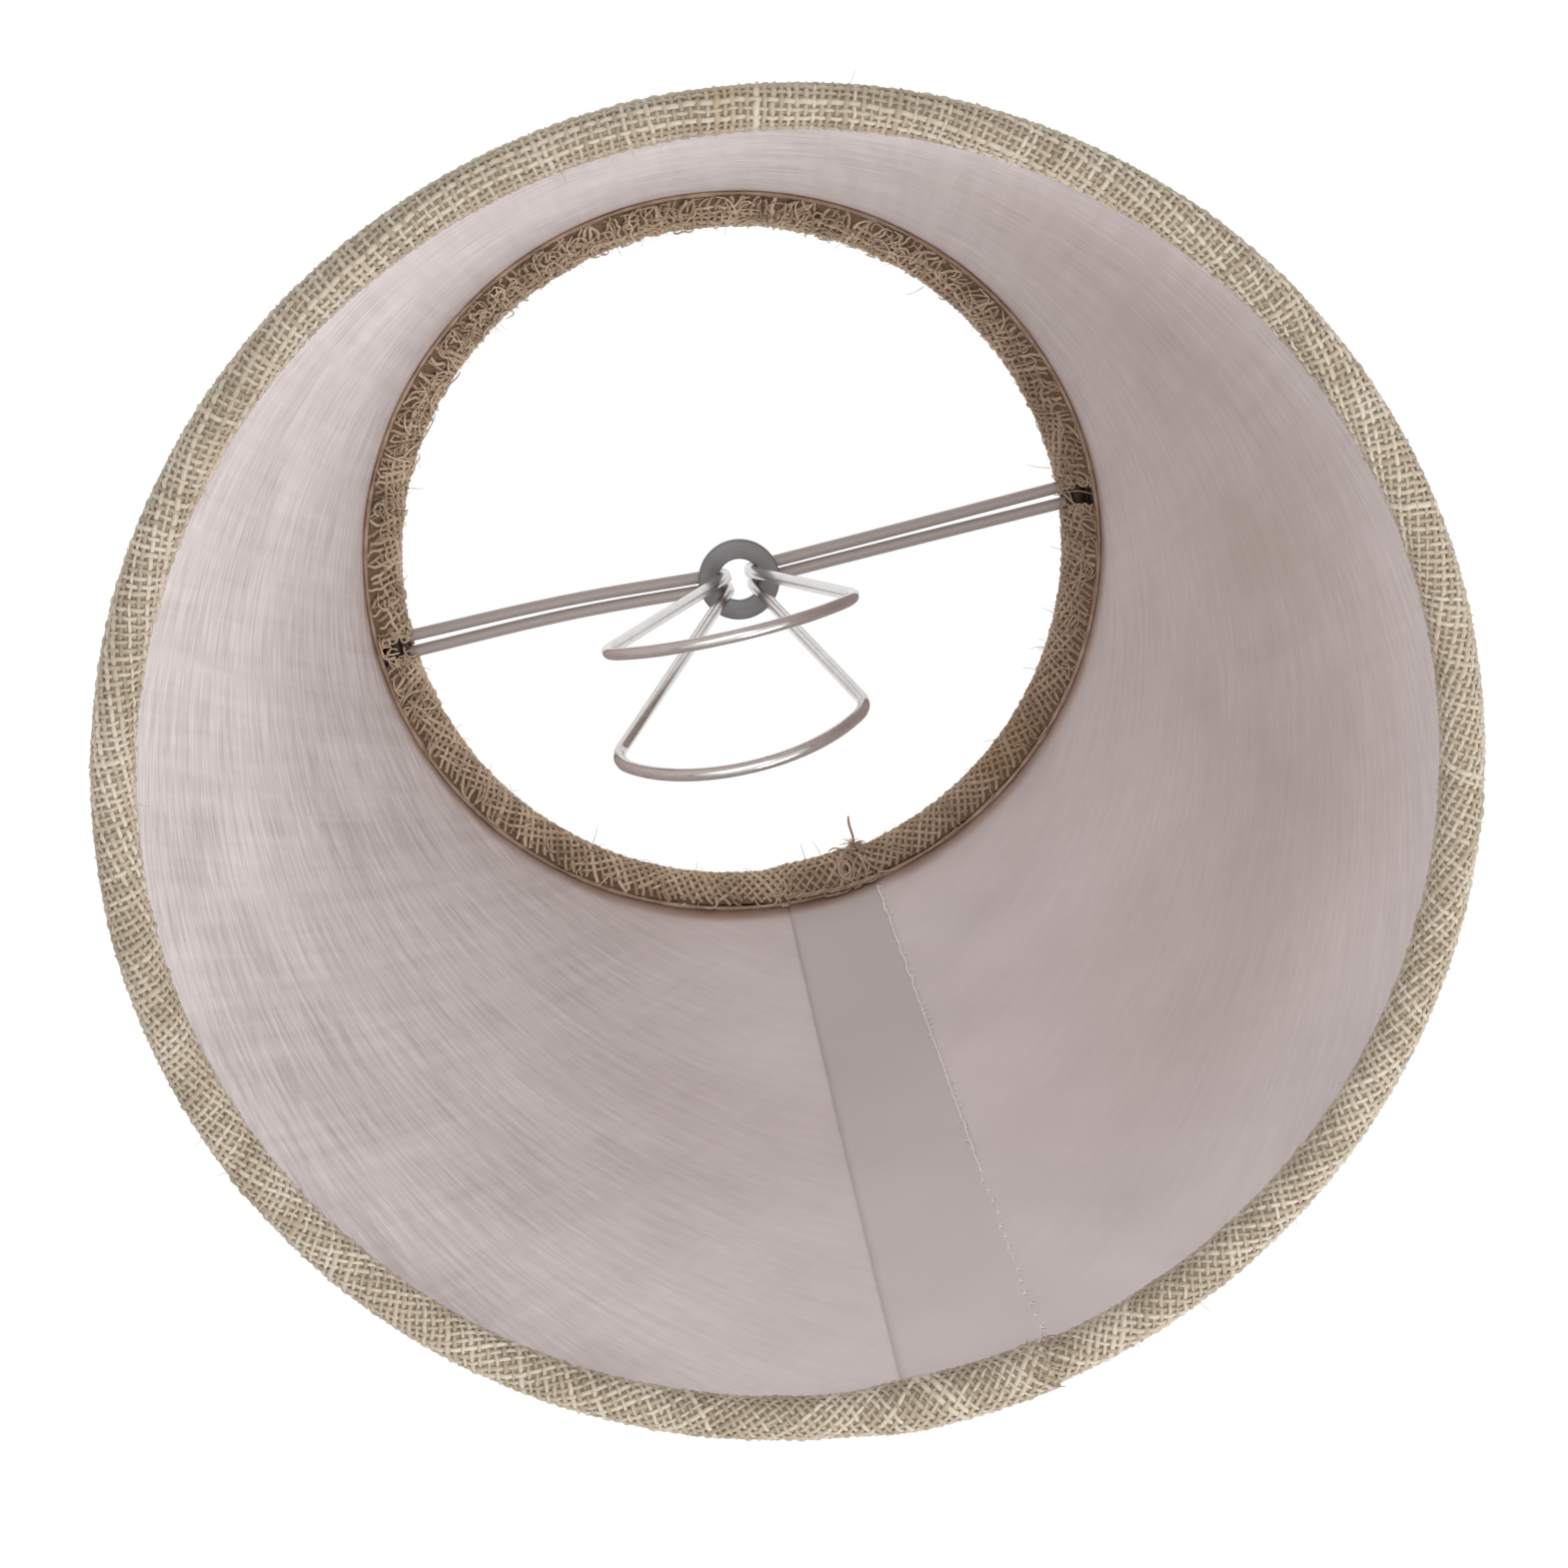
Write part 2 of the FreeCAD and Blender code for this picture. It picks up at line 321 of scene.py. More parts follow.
@dataclass
class ShadeForm:
    """Section of the wall and of the rolled hems, and the flat piece that they are cut from.

    A place on the cloth is its run, in metres along the cloth up from the lower ring, its angle
    round Z, and its height out from the middle of the cloth. Runs below 0 and above the wall's
    length lie on the hems, round the rings and back along the inside of the wall.
    """

    cloth: float = 1.0 * MM
    liner: float = 0.4 * MM
    hem_radius: float = 3.8 * MM
    hem_turn: float = 7.5 * MM
    lap_start: float = math.radians(79.3)
    lap_angle: float = math.radians(13)
    lap_step: float = 0.8 * MM
    lap_ramp: float = math.radians(6)
    cut_short: float = 3.7 * MM
    low: Vector = field(init=False)
    high: Vector = field(init=False)

    def __post_init__(self) -> None:
        """Work out the section from the two rings."""
        self.low = ring_centre("bottom_ring")
        self.high = ring_centre("top_ring")
        span = self.high - self.low
        self.wall = span.length
        self.along = span.normalized()
        self.outward = Vector((self.along.y, -self.along.x))
        self.middle = self.hem_radius - self.cloth / 2
        self.liner_face = self.hem_radius - self.cloth - self.liner
        wrap, self.tongue = self.fold(0.0)
        self.curl = wrap * self.middle
        self.turned = self.curl + self.tongue
        self.slope = -self.along.x
        self.apex = (self.low + self.outward * self.middle).x / self.slope
        self.turn = TAU + self.lap_angle
        self.front = self.lap_start + self.turn / 2
        self.half_sector = self.turn / 2 * self.slope

    def fold(self, short: float) -> tuple[float, float]:
        """Give the angle that a hem turns round its ring and how far its edge then reaches.

        Args:
            short: how much less than the full distance the hem reaches along the wall.

        Returns:
            The angle, and the reach of the straight part.
        """
        edge = self.liner_face - self.cloth
        turn = self.hem_turn - short
        lay = math.atan2(turn, edge) + math.acos(self.hem_radius / math.hypot(edge, turn))
        return TAU - lay, math.sqrt(edge ** 2 + turn ** 2 - self.hem_radius ** 2)

    def short(self, angle: float) -> float:
        """Give how much shorter the upper hem was cut there, most beside the seam."""
        return self.cut_short * self.seam_share(angle) ** 1.6

    def section(self, run: float, height: float = 0.0, short: float = 0.0) -> Vector:
        """Give a point of the cloth's section as radius and height above the floor.

        Args:
            run: distance along the cloth from the lower ring.
            height: height out from its middle.
            short: how much less the upper hem is turned in.

        Returns:
            Radius and height.
        """
        radius = self.middle + height
        if 0 <= run <= self.wall:
            return self.low + self.outward * radius + self.along * run
        ring, inward, turned = (self.low, 1, -run) if run < 0 else (self.high, -1, run - self.wall)
        wrap, tongue = self.fold(short)
        curl = wrap * self.middle
        angle = min(turned / self.middle, wrap)
        beyond = min(max(turned - curl, 0.0), tongue)
        loose = max(turned - curl - tongue, 0.0)
        offset = radius * math.cos(angle) - beyond * math.sin(angle)
        reach = -radius * math.sin(angle) - beyond * math.cos(angle) + loose
        return ring + self.outward * offset + self.along * (inward * reach)

    def _rise(self, beyond: float) -> float:
        """Give a smooth rise from 0 to 1 over the ramp beside the lap."""
        share = min(max(beyond / self.lap_ramp, 0.0), 1.0)
        return share * share * (3 - 2 * share)

    def cloth_lap(self, angle: float) -> float:
        """Give how far the cloth's first end has stepped out over its second, from 0 to 1."""
        return self._rise(self.lap_start + self.lap_angle + self.lap_ramp - angle)

    def film_lap(self, angle: float) -> float:
        """Give how far the film's second end has stepped in over its first, from 0 to 1."""
        return self._rise(angle - self.lap_start - TAU + self.lap_ramp)

    def seam_share(self, angle: float) -> float:
        """Give how near an angle is to the seam, from 0 opposite it to 1 beside it."""
        return (1 - math.cos(angle - self.front)) / 2

    def trim(self, run: float, angle: float) -> float:
        """Give how much shorter than full the turned edge was cut there.

        Args:
            run: a run, below 0 for the lower hem.
            angle: the angle round the shade.

        Returns:
            The distance cut off, in metres.
        """
        ragged = noise.noise(Vector((angle * 7, 3 if run > 0 else 8, 0))) * 0.5 * MM
        if run < 0:
            return 0.5 * MM + ragged
        wrap, tongue = self.fold(self.short(angle))
        return self.turned - wrap * self.middle - tongue + 0.1 * MM + ragged

    def place(self, run: float, angle: float, height: float = 0.0) -> Vector:
        """Give the point of the cloth at a run and an angle.

        Args:
            run: distance along the cloth from the lower ring.
            angle: the angle round the shade.
            height: height out from the cloth's middle.

        Returns:
            The point.
        """
        short = self.short(angle) if run > self.wall else 0.0
        spot = self.section(run, height + self.lap_step * self.cloth_lap(angle), short)
        return polar(spot.x, angle, spot.y)

    def inside(self, along: float, angle: float, height: float = 0.0) -> Vector:
        """Give a point of the liner's inner face, height inward from it."""
        spot = self.low + self.outward * (self.liner_face - height) + self.along * along
        return polar(spot.x, angle, spot.y)

    def flat(self, run: float, angle: float) -> tuple[float, float]:
        """Give a place of the cloth on the flat piece."""
        reach = self.apex - run
        bearing = (angle - self.front) * self.slope
        return reach * math.cos(bearing), reach * math.sin(bearing)

    def unflat(self, x: float, y: float) -> tuple[float, float]:
        """Give the run and angle of a place on the flat piece."""
        return self.apex - math.hypot(x, y), self.front + math.atan2(y, x) / self.slope

    def cut(self) -> tuple[float, float, float]:
        """Give the flat piece's width, length and area.

        Returns:
            Width, length and area, in metres and square metres.
        """
        outer = self.apex + self.turned
        inner = self.apex - self.wall - self.turned
        width = 2 * outer * math.sin(self.half_sector)
        length = outer - inner * math.cos(self.half_sector)
        return width, length, self.half_sector * (outer ** 2 - inner ** 2)


@dataclass
class Notch:
    """Gap in the upper hem's turned edge where a pair of crossbars comes through."""

    angle: float
    half_width: float = 2.9 * MM
    tail_width: float = 2.1 * MM
    from_run: float = 9.0 * MM
    bar_run: float = 12.2 * MM

    def holds(self, form: ShadeForm, run: float, angle: float) -> bool:
        """Tell whether a place of the cloth is cut away.

        Args:
            form: the shade's shape.
            run: the place's run.
            angle: its angle.

        Returns:
            True where the cloth is gone.
        """
        beyond = run - form.wall
        if beyond < self.from_run:
            return False
        apart = (angle - self.angle + math.pi) % TAU - math.pi
        wobble = 0.5 * MM * noise.noise(Vector((beyond * 900, self.angle, 0)))
        width = self.half_width if beyond < self.bar_run else self.tail_width
        return abs(apart) * form.high.x < width + wobble


# ================================================================ meshes
def linked(name: str, data: bpy.types.ID) -> bpy.types.Object:
    """Put a mesh, curve, lamp or camera into the scene as an object."""
    holder = bpy.data.objects.new(name, data)
    bpy.context.scene.collection.objects.link(holder)
    return holder


def finished(made: bmesh.types.BMesh, name: str) -> bpy.types.Mesh:
    """Turn a working mesh into a mesh of its own, and let the working mesh go."""
    mesh = bpy.data.meshes.new(name)
    made.to_mesh(mesh)
    made.free()
    return mesh


def thicken(piece: bpy.types.Object, thickness: float) -> None:
    """Give a sheet its thickness, half to each side."""
    solid = piece.modifiers.new("thickness", "SOLIDIFY")
    solid.thickness = thickness
    solid.offset = 0.0


def dressed(name: str, mesh: bpy.types.Mesh, material: bpy.types.Material, body: str | None) -> bpy.types.Object:
    """Make a piece of a mesh, give it its finish and let it ride.

    Args:
        name: the piece's name.
        mesh: its finished mesh, in place.
        material: its finish.
        body: the CAD body that it moves with, or None to leave it unattached.

    Returns:
        The new piece.
    """
    piece = linked(name, mesh)
    mesh.materials.clear()
    mesh.materials.append(material)
    for face in mesh.polygons:
        face.use_smooth = True
    if body:
        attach(piece, body)
    LOG.info("%s: %d faces", name, len(mesh.polygons))
    return piece


def spun(section: Sequence[Vector], start: float, angle: float, steps: int) -> bmesh.types.BMesh:
    """Spin an open section round Z.

    Args:
        section: its points, as radius and height.
        start: the angle that the spin starts from.
        angle: how far it turns.
        steps: its number of steps.

    Returns:
        A mesh with the section's points in order, step after step.
    """
    made = bmesh.new()
    points = [made.verts.new(polar(spot.x, start, spot.y)) for spot in section]
    edges = [made.edges.new(pair) for pair in zip(points, points[1:])]
    bmesh.ops.spin(made, geom=points + edges, cent=(0, 0, 0), axis=Z_AXIS, dvec=(0, 0, 0), angle=angle,
                   steps=steps, use_merge=False, use_normal_flip=False, use_duplicate=False)
    made.verts.ensure_lookup_table()
    made.verts.index_update()
    return made


def lay_pattern(made: bmesh.types.BMesh, form: ShadeForm, spots: Sequence[tuple[float, float]]) -> None:
    """Write where each point of a working mesh lies on the flat piece, as its UV map.

    Args:
        made: the working mesh.
        form: the shade's shape.
        spots: the run and angle of each of its points, in order.
    """
    pattern = made.loops.layers.uv.new("flat_cloth")
    for face in made.faces:
        for loop in face.loops:
            loop[pattern].uv = form.flat(*spots[loop.vert.index])


@dataclass
class Strand:
    """One yarn, hair or wire: the points of its centre line, its thickness there and its tone."""

    points: list[Vector]
    radii: list[float]
    tone: float = 0.5


class StrandMaker:
    """Makes many strands into one mesh, with each strand's tone kept on its points."""

    def __init__(self, name: str, sides: int = 4) -> None:
        """Start with no strands. sides is even and 4 or more."""
        self.name = name
        self.sides = sides
        self.strands: list[Strand] = []

    def add(self, strand: Strand) -> None:
        """Add a strand, without points that lie on the one before.

        Args:
            strand: the strand.
        """
        kept = [0]
        for number, point in enumerate(strand.points):
            if (point - strand.points[kept[-1]]).length > 0.02 * MM:
                kept.append(number)
        if len(kept) > 1:
            points = [strand.points[number] for number in kept]
            self.strands.append(Strand(points, [strand.radii[number] for number in kept], strand.tone))

    def mesh(self) -> bpy.types.Mesh:
        """Give the strands as round tubes with closed ends.

        Returns:
            The mesh, with its tones.
        """
        curve = bpy.data.curves.new(self.name, "CURVE")
        curve.dimensions = "3D"
        curve.bevel_depth = 1.0
        curve.bevel_resolution = (self.sides - 4) // 2
        curve.use_fill_caps = True
        for strand in self.strands:
            spline = curve.splines.new("POLY")
            spline.points.add(len(strand.points) - 1)
            flat = [value for point in strand.points for value in (*point, 1.0)]
            spline.points.foreach_set("co", flat)
            spline.points.foreach_set("radius", strand.radii)
        holder = linked(self.name, curve)
        mesh = bpy.data.meshes.new_from_object(holder)
        mesh.name = self.name
        bpy.data.objects.remove(holder)
        bpy.data.curves.remove(curve)
        self._tones(mesh)
        return mesh

    def _tones(self, mesh: bpy.types.Mesh) -> None:
        """Write each strand's tone on its points. The mesh has the end caps' points first.

        Args:
            mesh: the tubes' mesh.
        """
        tones = [strand.tone for strand in reversed(self.strands) for _ in range(2 * self.sides)]
        for strand in self.strands:
            tones += [strand.tone] * (len(strand.points) * self.sides)
        attribute = mesh.attributes.new("tone", "FLOAT", "POINT")
        attribute.data.foreach_set("value", tones)


# ================================================================ finishes
@dataclass(frozen=True)
class YarnFinish:
    """Undyed jute or linen yarn: beige, uneven from yarn to yarn, matte and hairy, with painted shade toward one
    side where asked.
    """

    name: str
    light: tuple[float, float, float]
    middle: tuple[float, float, float]
    dark: tuple[float, float, float]
    stain: tuple[float, float, float] = (0.42, 0.27, 0.09)
    # how far the yarns are darkened toward one side of the shade: painted shade
    painted_side_shade: float = 0.0

    def material(self) -> bpy.types.Material:
        """Build the material.

        Returns:
            The material.
        """
        finish = Finish(self.name)
        place = finish.place()
        x, y, _ = finish.split(place)
        tone = finish.signal(finish.node("ShaderNodeAttribute", {"attribute_name": "tone"}), "Fac")
        cloudy = finish.noise(place, 90, 3)
        fibre = finish.noise(place, 2600, 3, 0.7)
        amount = tone * 0.62 + cloudy * 0.5 + fibre * 0.34 - 0.23
        stops = ((0.12, self.dark), (0.5, self.middle), (0.88, self.light))
        colour = finish.colours(amount, stops)
        blot = finish.noise(place, 34, 2).step(0.66, 0.78) * 0.45
        colour = finish.blend(blot, colour, self.stain)
        # painted shade: the yarns darken toward the side of the shade that gets less light
        side_shade = (x * 0.82 + y * 0.57).step(0.005, 0.060) * self.painted_side_shade
        colour = finish.blend(side_shade, colour, self.dark)
        bump = finish.relief(fibre, 0.12 * MM, 0.8)
        return finish.surface(base_color=colour, roughness=0.86, normal=bump, sheen_weight=0.15,
                              sheen_roughness=0.5, specular_ior_level=0.25)


@dataclass(frozen=True)
class ClothFinish:
    """The same weave where it lies flat on the wall, drawn on the flat piece, with painted shade between the
    yarns.
    """

    pitch: float
    light: tuple[float, float, float] = (0.56, 0.48, 0.37)
    dark: tuple[float, float, float] = (0.34, 0.272, 0.19)
    # gap and upper_gap_shade: painted shade in the holes between the yarns
    gap: tuple[float, float, float] = (0.12, 0.085, 0.05)
    lower_gap: tuple[float, float, float] = (0.44, 0.385, 0.285)
    upper_gap_shade: tuple[float, float, float] = (0.215, 0.14, 0.088)
    glued: tuple[float, float, float] = (0.56, 0.475, 0.37)
    half_yarn: float = 0.40
    crimp: float = 0.32

    def material(self, form: "ShadeForm") -> bpy.types.Material:
        """Build the material for a cloth that follows the form.

        Args:
            form: the shade's shape.

        Returns:
            The material.
        """
        finish = Finish("woven_cloth")
        flat = finish.flat_place()
        wander_x = finish.noise(flat, 110, 1)
        wander_y = finish.noise(finish.stretched(flat, (1, 1, 1), 1.3), 110, 1)
        x, y, _ = finish.split(flat)
        across = x / self.pitch + wander_x * 0.5
        up = y / self.pitch + wander_y * 0.5
        slub_round = finish.noise(finish.join(across.math("ROUND") * 7.3, up * 0.09), 1, 2)
        slub_up = finish.noise(finish.join(up.math("ROUND") * 5.1, across * 0.09, 4.0), 1, 2)
        round_yarn, round_height = self._yarn(across, up, slub_round, 1.0)
        up_yarn, up_height = self._yarn(up, across, slub_up, -1.0)
        over = round_height.math("GREATER_THAN", up_height)
        fibre = finish.noise(flat, 4200, 3, 0.7)
        tone = over * slub_round + (1 - over) * slub_up
        yarn = finish.blend((tone * 1.5 + fibre * 0.5 - 0.5).held(), self.dark, self.light)
        shade = round_height.math("MAXIMUM", up_height)
        cover = round_yarn.math("MAXIMUM", up_yarn)
        # painted shade: the holes between the yarns take the dark gap colour, and the low parts of the yarns are
        # darkened toward it
        colour = finish.blend(cover, self.gap, yarn)
        colour = finish.blend(shade.step(0.95, 0.2) * 0.35, colour, self.gap)
        reach = (x * x + y * y).math("SQRT")
        lower = reach.step(form.apex, form.apex + 0.4 * MM)
        upper = reach.step(form.apex - form.wall, form.apex - form.wall - 0.4 * MM)
        glued = reach.step(form.apex + form.turned - 2.4 * MM, form.apex + form.turned - 1.7 * MM)
        colour = finish.blend(lower, colour, self.lower_gap)
        # painted shade: the dark colour between the upper hem's yarns
        colour = finish.blend(upper, colour, self.upper_gap_shade)
        colour = finish.blend(glued, colour, self.glued)
        height = shade * cover + fibre * 0.12
        bump = finish.relief(height, 0.42 * MM, 1.0)
        return finish.surface(base_color=colour, roughness=0.9, normal=bump, sheen_weight=0.15,
                              sheen_roughness=0.5, specular_ior_level=0.2)

    def _yarn(self, across: Signal, along: Signal, slub: Signal, side: float) -> tuple[Signal, Signal]:
        """Give where one family's yarns lie and how high they stand.

        Args:
            across: the place across the yarns, in pitches.
            along: the place along them.
            slub: the yarn's unevenness.
            side: 1 or -1, for which family starts on top.

        Returns:
            The share covered, and the height.
        """
        index = across.math("ROUND")
        width = slub * 0.22 + (self.half_yarn - 0.1)
        share = (across - index).math("ABSOLUTE") / width
        covered = share.step(1.0, 0.86)
        crown = (1 - share * share).math("MAXIMUM", 0.0).math("SQRT")
        wave = ((along + index) * math.pi).math("COSINE") * (self.crimp * side)
        return covered, (crown * 0.5 + wave + self.crimp) * covered


@dataclass(frozen=True)
class FilmFinish:
    """Satin film liner, with streaks along both yarn families painted on it as the cloth behind, lit through
    from outside.
    """

    name: str = "liner_film"
    pale: tuple[float, float, float] = (0.80, 0.735, 0.735)
    deep: tuple[float, float, float] = (0.49, 0.43, 0.42)
    # the colour of a browner patch on one flank, partly the film's own tone and partly painted shade, and of the
    # painted shade toward the top ring
    warm_patch_and_shade: tuple[float, float, float] = (0.40, 0.29, 0.235)
    plain: tuple[float, float, float] = (0.46, 0.42, 0.41)
    stain: tuple[float, float, float] = (0.42, 0.26, 0.18)
    warm_bearing: float = 0.36

    def material(self, form: ShadeForm) -> bpy.types.Material:
        """Build the material for a liner that follows the form.

        Args:
            form: the shade's shape.

        Returns:
            The material.
        """
        finish = Finish(self.name)
        flat = finish.flat_place()
        x, y, _ = finish.split(flat)
        reach = (x * x + y * y).math("SQRT")
        bearing = y.math("ARCTAN2", x)
        long_round = finish.noise(finish.stretched(flat, (1, 0.08, 1)), 620, 3, 0.65)
        long_up = finish.noise(finish.stretched(flat, (0.045, 1, 1)), 300, 2, 0.6)
        fine_round = finish.noise(finish.stretched(flat, (1, 0.10, 1)), 1500, 2, 0.6)
        broad = finish.noise(flat, 14, 2)
        patch = finish.noise(flat, 42, 2)
        # painted light: streaks of the cloth's yarns lit through the film from outside, strongest opposite the
        # seam and weaker to one side
        away = (bearing.math("ABSOLUTE").step(0.70, 0.42) * 0.85 + 0.15) * (1 - bearing.step(0.1, 0.5) * 0.6)
        streak = ((long_round - 0.5) * 1.8 + (long_up - 0.5) * 0.6 + (fine_round - 0.5) * 1.0) * away
        lap_bearing = form.half_sector - form.lap_angle * form.slope
        lap = bearing.step(lap_bearing, lap_bearing + 0.0008)
        cloudy = (broad - 0.5) * 0.9 + (patch - 0.5) * 0.5
        amount = (0.55 + streak * (1 - lap * 0.85) + cloudy * (1 - lap * 0.4)).held()
        colour = finish.blend(amount, self.deep, self.pale)
        upward = reach.step(form.apex - form.wall * 0.1, form.apex - form.wall * 0.9)
        colour = finish.blend(lap * (0.12 + upward * 0.48), colour, self.plain)
        # painted shade: darker toward the top ring; the flank patch is partly a browner tone of the film and
        # partly painted shade
        neck = reach.step(form.apex - form.wall * 0.70, form.apex - form.wall)
        flank = (bearing - self.warm_bearing).math("ABSOLUTE").step(0.34, 0.05)
        middle = (reach - (form.apex - form.wall * 0.5)).math("ABSOLUTE").step(0.11, 0.01)
        mottle = patch.step(0.30, 0.72)
        browned_and_shaded = neck * 0.10 + flank * middle * (0.34 + mottle * 0.26)
        colour = finish.blend(browned_and_shaded * (1 - lap * 0.8), colour, self.warm_patch_and_shade)
        rim = form.apex - form.wall + form.hem_turn
        near = reach.step(rim + 2.2 * MM, rim - 1.0 * MM)
        colour = finish.blend(near * (0.3 + mottle * 0.5), colour, self.stain)
        bump = finish.relief(streak * (1 - lap * 0.8) + patch * 5, 0.05 * MM, 0.6)
        return finish.surface(base_color=colour, roughness=0.55, normal=bump, specular_ior_level=0.35)


@dataclass(frozen=True)
class MetalFinish:
    """Bare or plated metal with fine marks, and a grey-brown painted reflection above a height where asked."""

    name: str
    tint: tuple[float, float, float]
    dull: tuple[float, float, float]
    roughness: float
    grain: float = 900.0
    marks: float = 0.4
    turned: bool = False
    dull_above: float = 0.0
    # grey-brown of the crossbars: a painted reflection of their surroundings
    bar_reflection_tint: tuple[float, float, float] = (0.47, 0.43, 0.41)

    def material(self) -> bpy.types.Material:
        """Build the material.

        Returns:
            The material.
        """
        finish = Finish(self.name)
        place = finish.place()
        if self.turned:
            x, y, z = finish.split(place)
            radius = (x * x + (y - FITTER_OFFSET) * (y - FITTER_OFFSET)).math("SQRT")
            pattern = finish.noise(finish.join(radius * 3.0, z, (x + y) * 0.04), 1400, 2, 0.6)
        else:
            pattern = finish.noise(place, self.grain, 3, 0.65)
        smudge = finish.noise(place, 160, 2)
        colour = finish.blend((pattern * 0.7 + smudge * 0.5 - 0.1).held(), self.dull, self.tint)
        rough = self.roughness + pattern * self.marks * self.roughness
        metal = 1.0
        # painted reflection: above dull_above the wire (the crossbars) is tinted grey-brown, as its surroundings
        # reflected in it, and made rougher and less metallic
        if self.dull_above:
            dull_bar_share = finish.split(place)[2].step(self.dull_above, self.dull_above + 3 * MM)
            rough = rough + dull_bar_share * 0.3
            colour = finish.blend(dull_bar_share, colour, self.bar_reflection_tint)
            metal = 1.0 - dull_bar_share * 0.8
        bump = finish.relief(pattern, 0.02 * MM, self.marks)
        return finish.surface(base_color=colour, metallic=metal, roughness=rough, normal=bump)


@dataclass(frozen=True)
class GlueFinish:
    """Dried clear adhesive, slightly yellow."""

    name: str = "dried_glue"
    clear: tuple[float, float, float] = (0.55, 0.46, 0.30)
    milky: tuple[float, float, float] = (0.66, 0.60, 0.50)

    def material(self) -> bpy.types.Material:
        """Build the material.

        Returns:
            The material.
        """
        finish = Finish(self.name)
        place = finish.place()
        lumps = finish.noise(place, 700, 3)
        colour = finish.blend(finish.noise(place, 260, 2).step(0.4, 0.65), self.clear, self.milky)
        return finish.surface(base_color=colour, roughness=0.32, normal=finish.relief(lumps, 0.2 * MM, 0.7),
                              specular_ior_level=0.5)


@dataclass(frozen=True)
class PlainFinish:
    """Thin tape, thread or floor: one colour with slight clouding."""

    name: str
    light: tuple[float, float, float]
    dark: tuple[float, float, float]
    roughness: float = 0.7
    scale: float = 300.0

    def material(self) -> bpy.types.Material:
        """Build the material.

        Returns:
            The material.
        """
        finish = Finish(self.name)
        cloud = finish.noise(finish.place(), self.scale, 3)
        colour = finish.blend(cloud, self.dark, self.light)
        return finish.surface(base_color=colour, roughness=self.roughness,
                              normal=finish.relief(cloud, 0.05 * MM, 0.5))


# ================================================================ the weave
@dataclass
class Weave:
    """Coarse plain weave, drawn as real yarns over a band of the flat piece."""

    form: ShadeForm
    pitch: float = 1.37 * MM
    yarn: float = 0.45 * MM
    crimp: float = 0.19 * MM
    wander: float = 0.34 * MM
    jitter: float = 0.16 * MM
    neat_at_seam: float = 0.0
    steps: int = 3
    seed: int = 11

    def waves(self, x: float, y: float) -> tuple[float, float]:
        """Give where a place of the flat piece has shifted, from uneven beating and handling.

        Args:
            x: the place's first coordinate.
            y: its second.

        Returns:
            The shifted place.
        """
        near = Vector((x * 170, y * 170, 1.7))
        far = Vector((x * 45, y * 45, 7.1))
        side = noise.noise(near) * self.wander + noise.noise(far) * self.wander * 2
        rise = noise.noise(near + Vector((9, 5, 3))) * self.wander + noise.noise(far * 1.1) * self.wander * 2
        return x + side, y + rise

    def spans(self, family: Family, nearest: float, farthest: float) -> Iterator[tuple[int, float, float]]:
        """Give every yarn of a family that crosses a band of the flat piece.

        Args:
            family: which way the yarns run.
            nearest: the band's distance from the point of the cone.
            farthest: the distance of its far side.

        Returns:
            The yarn's number, and where it enters and leaves the band.
        """
        spread = self.form.half_sector
        if family is Family.ROUND:
            first = math.ceil(nearest * math.cos(spread) / self.pitch)
            last = math.floor(farthest / self.pitch)
            for number in range(first, last + 1):
                offset = number * self.pitch
                outer = min(math.sqrt(max(farthest ** 2 - offset ** 2, 0)), offset * math.tan(spread))
                inner = math.sqrt(max(nearest ** 2 - offset ** 2, 0))
                if inner > 0 and inner < outer:
                    yield number, -outer, -inner
                    yield number, inner, outer
                elif inner == 0 and outer > 0:
                    yield number, -outer, outer
            return
        last = math.floor(farthest * math.sin(spread) / self.pitch)
        for number in range(-last, last + 1):
            offset = number * self.pitch
            inner = max(math.sqrt(max(nearest ** 2 - offset ** 2, 0)), abs(offset) / math.tan(spread))
            outer = math.sqrt(farthest ** 2 - offset ** 2)
            if inner < outer:
                yield number, inner, outer

    def point(self, family: Family, number: int, along: float) -> tuple[float, float, float]:
        """Give a yarn's run, angle and height at a distance along it.

        Args:
            family: which way the yarn runs.
            number: the yarn's number.
            along: the distance along it.

        Returns:
            Its run, angle and height.
        """
        offset = number * self.pitch
        wave = self.crimp * math.cos(math.pi * (along / self.pitch + number))
        if family is Family.ROUND:
            x, y = self.waves(offset, along)
            height = wave
        else:
            x, y = self.waves(along, offset)
            height = -wave
        run, angle = self.form.unflat(x, y)
        loose = self.jitter * (1 - self.neat_at_seam * self.form.seam_share(angle))
        apart = 3.7 * number + 50 * family.value
        side = loose * noise.noise(Vector((along * 620, apart, 0)))
        if family is Family.ROUND:
            run += side
        else:
            angle += side / self.form.high.x
        height += 0.7 * loose * noise.noise(Vector((along * 520, apart, 9)))
        angle = min(max(angle, self.form.lap_start), self.form.lap_start + self.form.turn)
        return run, angle, height

    def thickness(self, family: Family, number: int) -> Callable[[float], float]:
        """Give a yarn's own thickness as a function of the distance along it.

        Args:
            family: which way the yarn runs.
            number: the yarn's number.

        Returns:
            A function from the distance along it to its radius.
        """
        chance = random.Random(self.seed + 2 * number + family.value)
        base = self.yarn * chance.uniform(0.76, 1.14)
        if chance.random() < 0.07:
            base *= 1.3
        shift = chance.uniform(0, 50)

        def radius(along: float) -> float:
            """Give the radius, thicker and thinner along the yarn."""
            slub = noise.noise(Vector((along * 120, shift, 0)))
            lump = max(noise.noise(Vector((along * 40, shift, 9))) - 0.25, 0)
            return base * (1 + 0.22 * slub + 0.7 * lump)

        return radius

    def tone(self, family: Family, number: int) -> float:
        """Give a yarn's own tone, from 0 to 1."""
        return random.Random(9000 + self.seed + 2 * number + family.value).betavariate(2.2, 1.9)


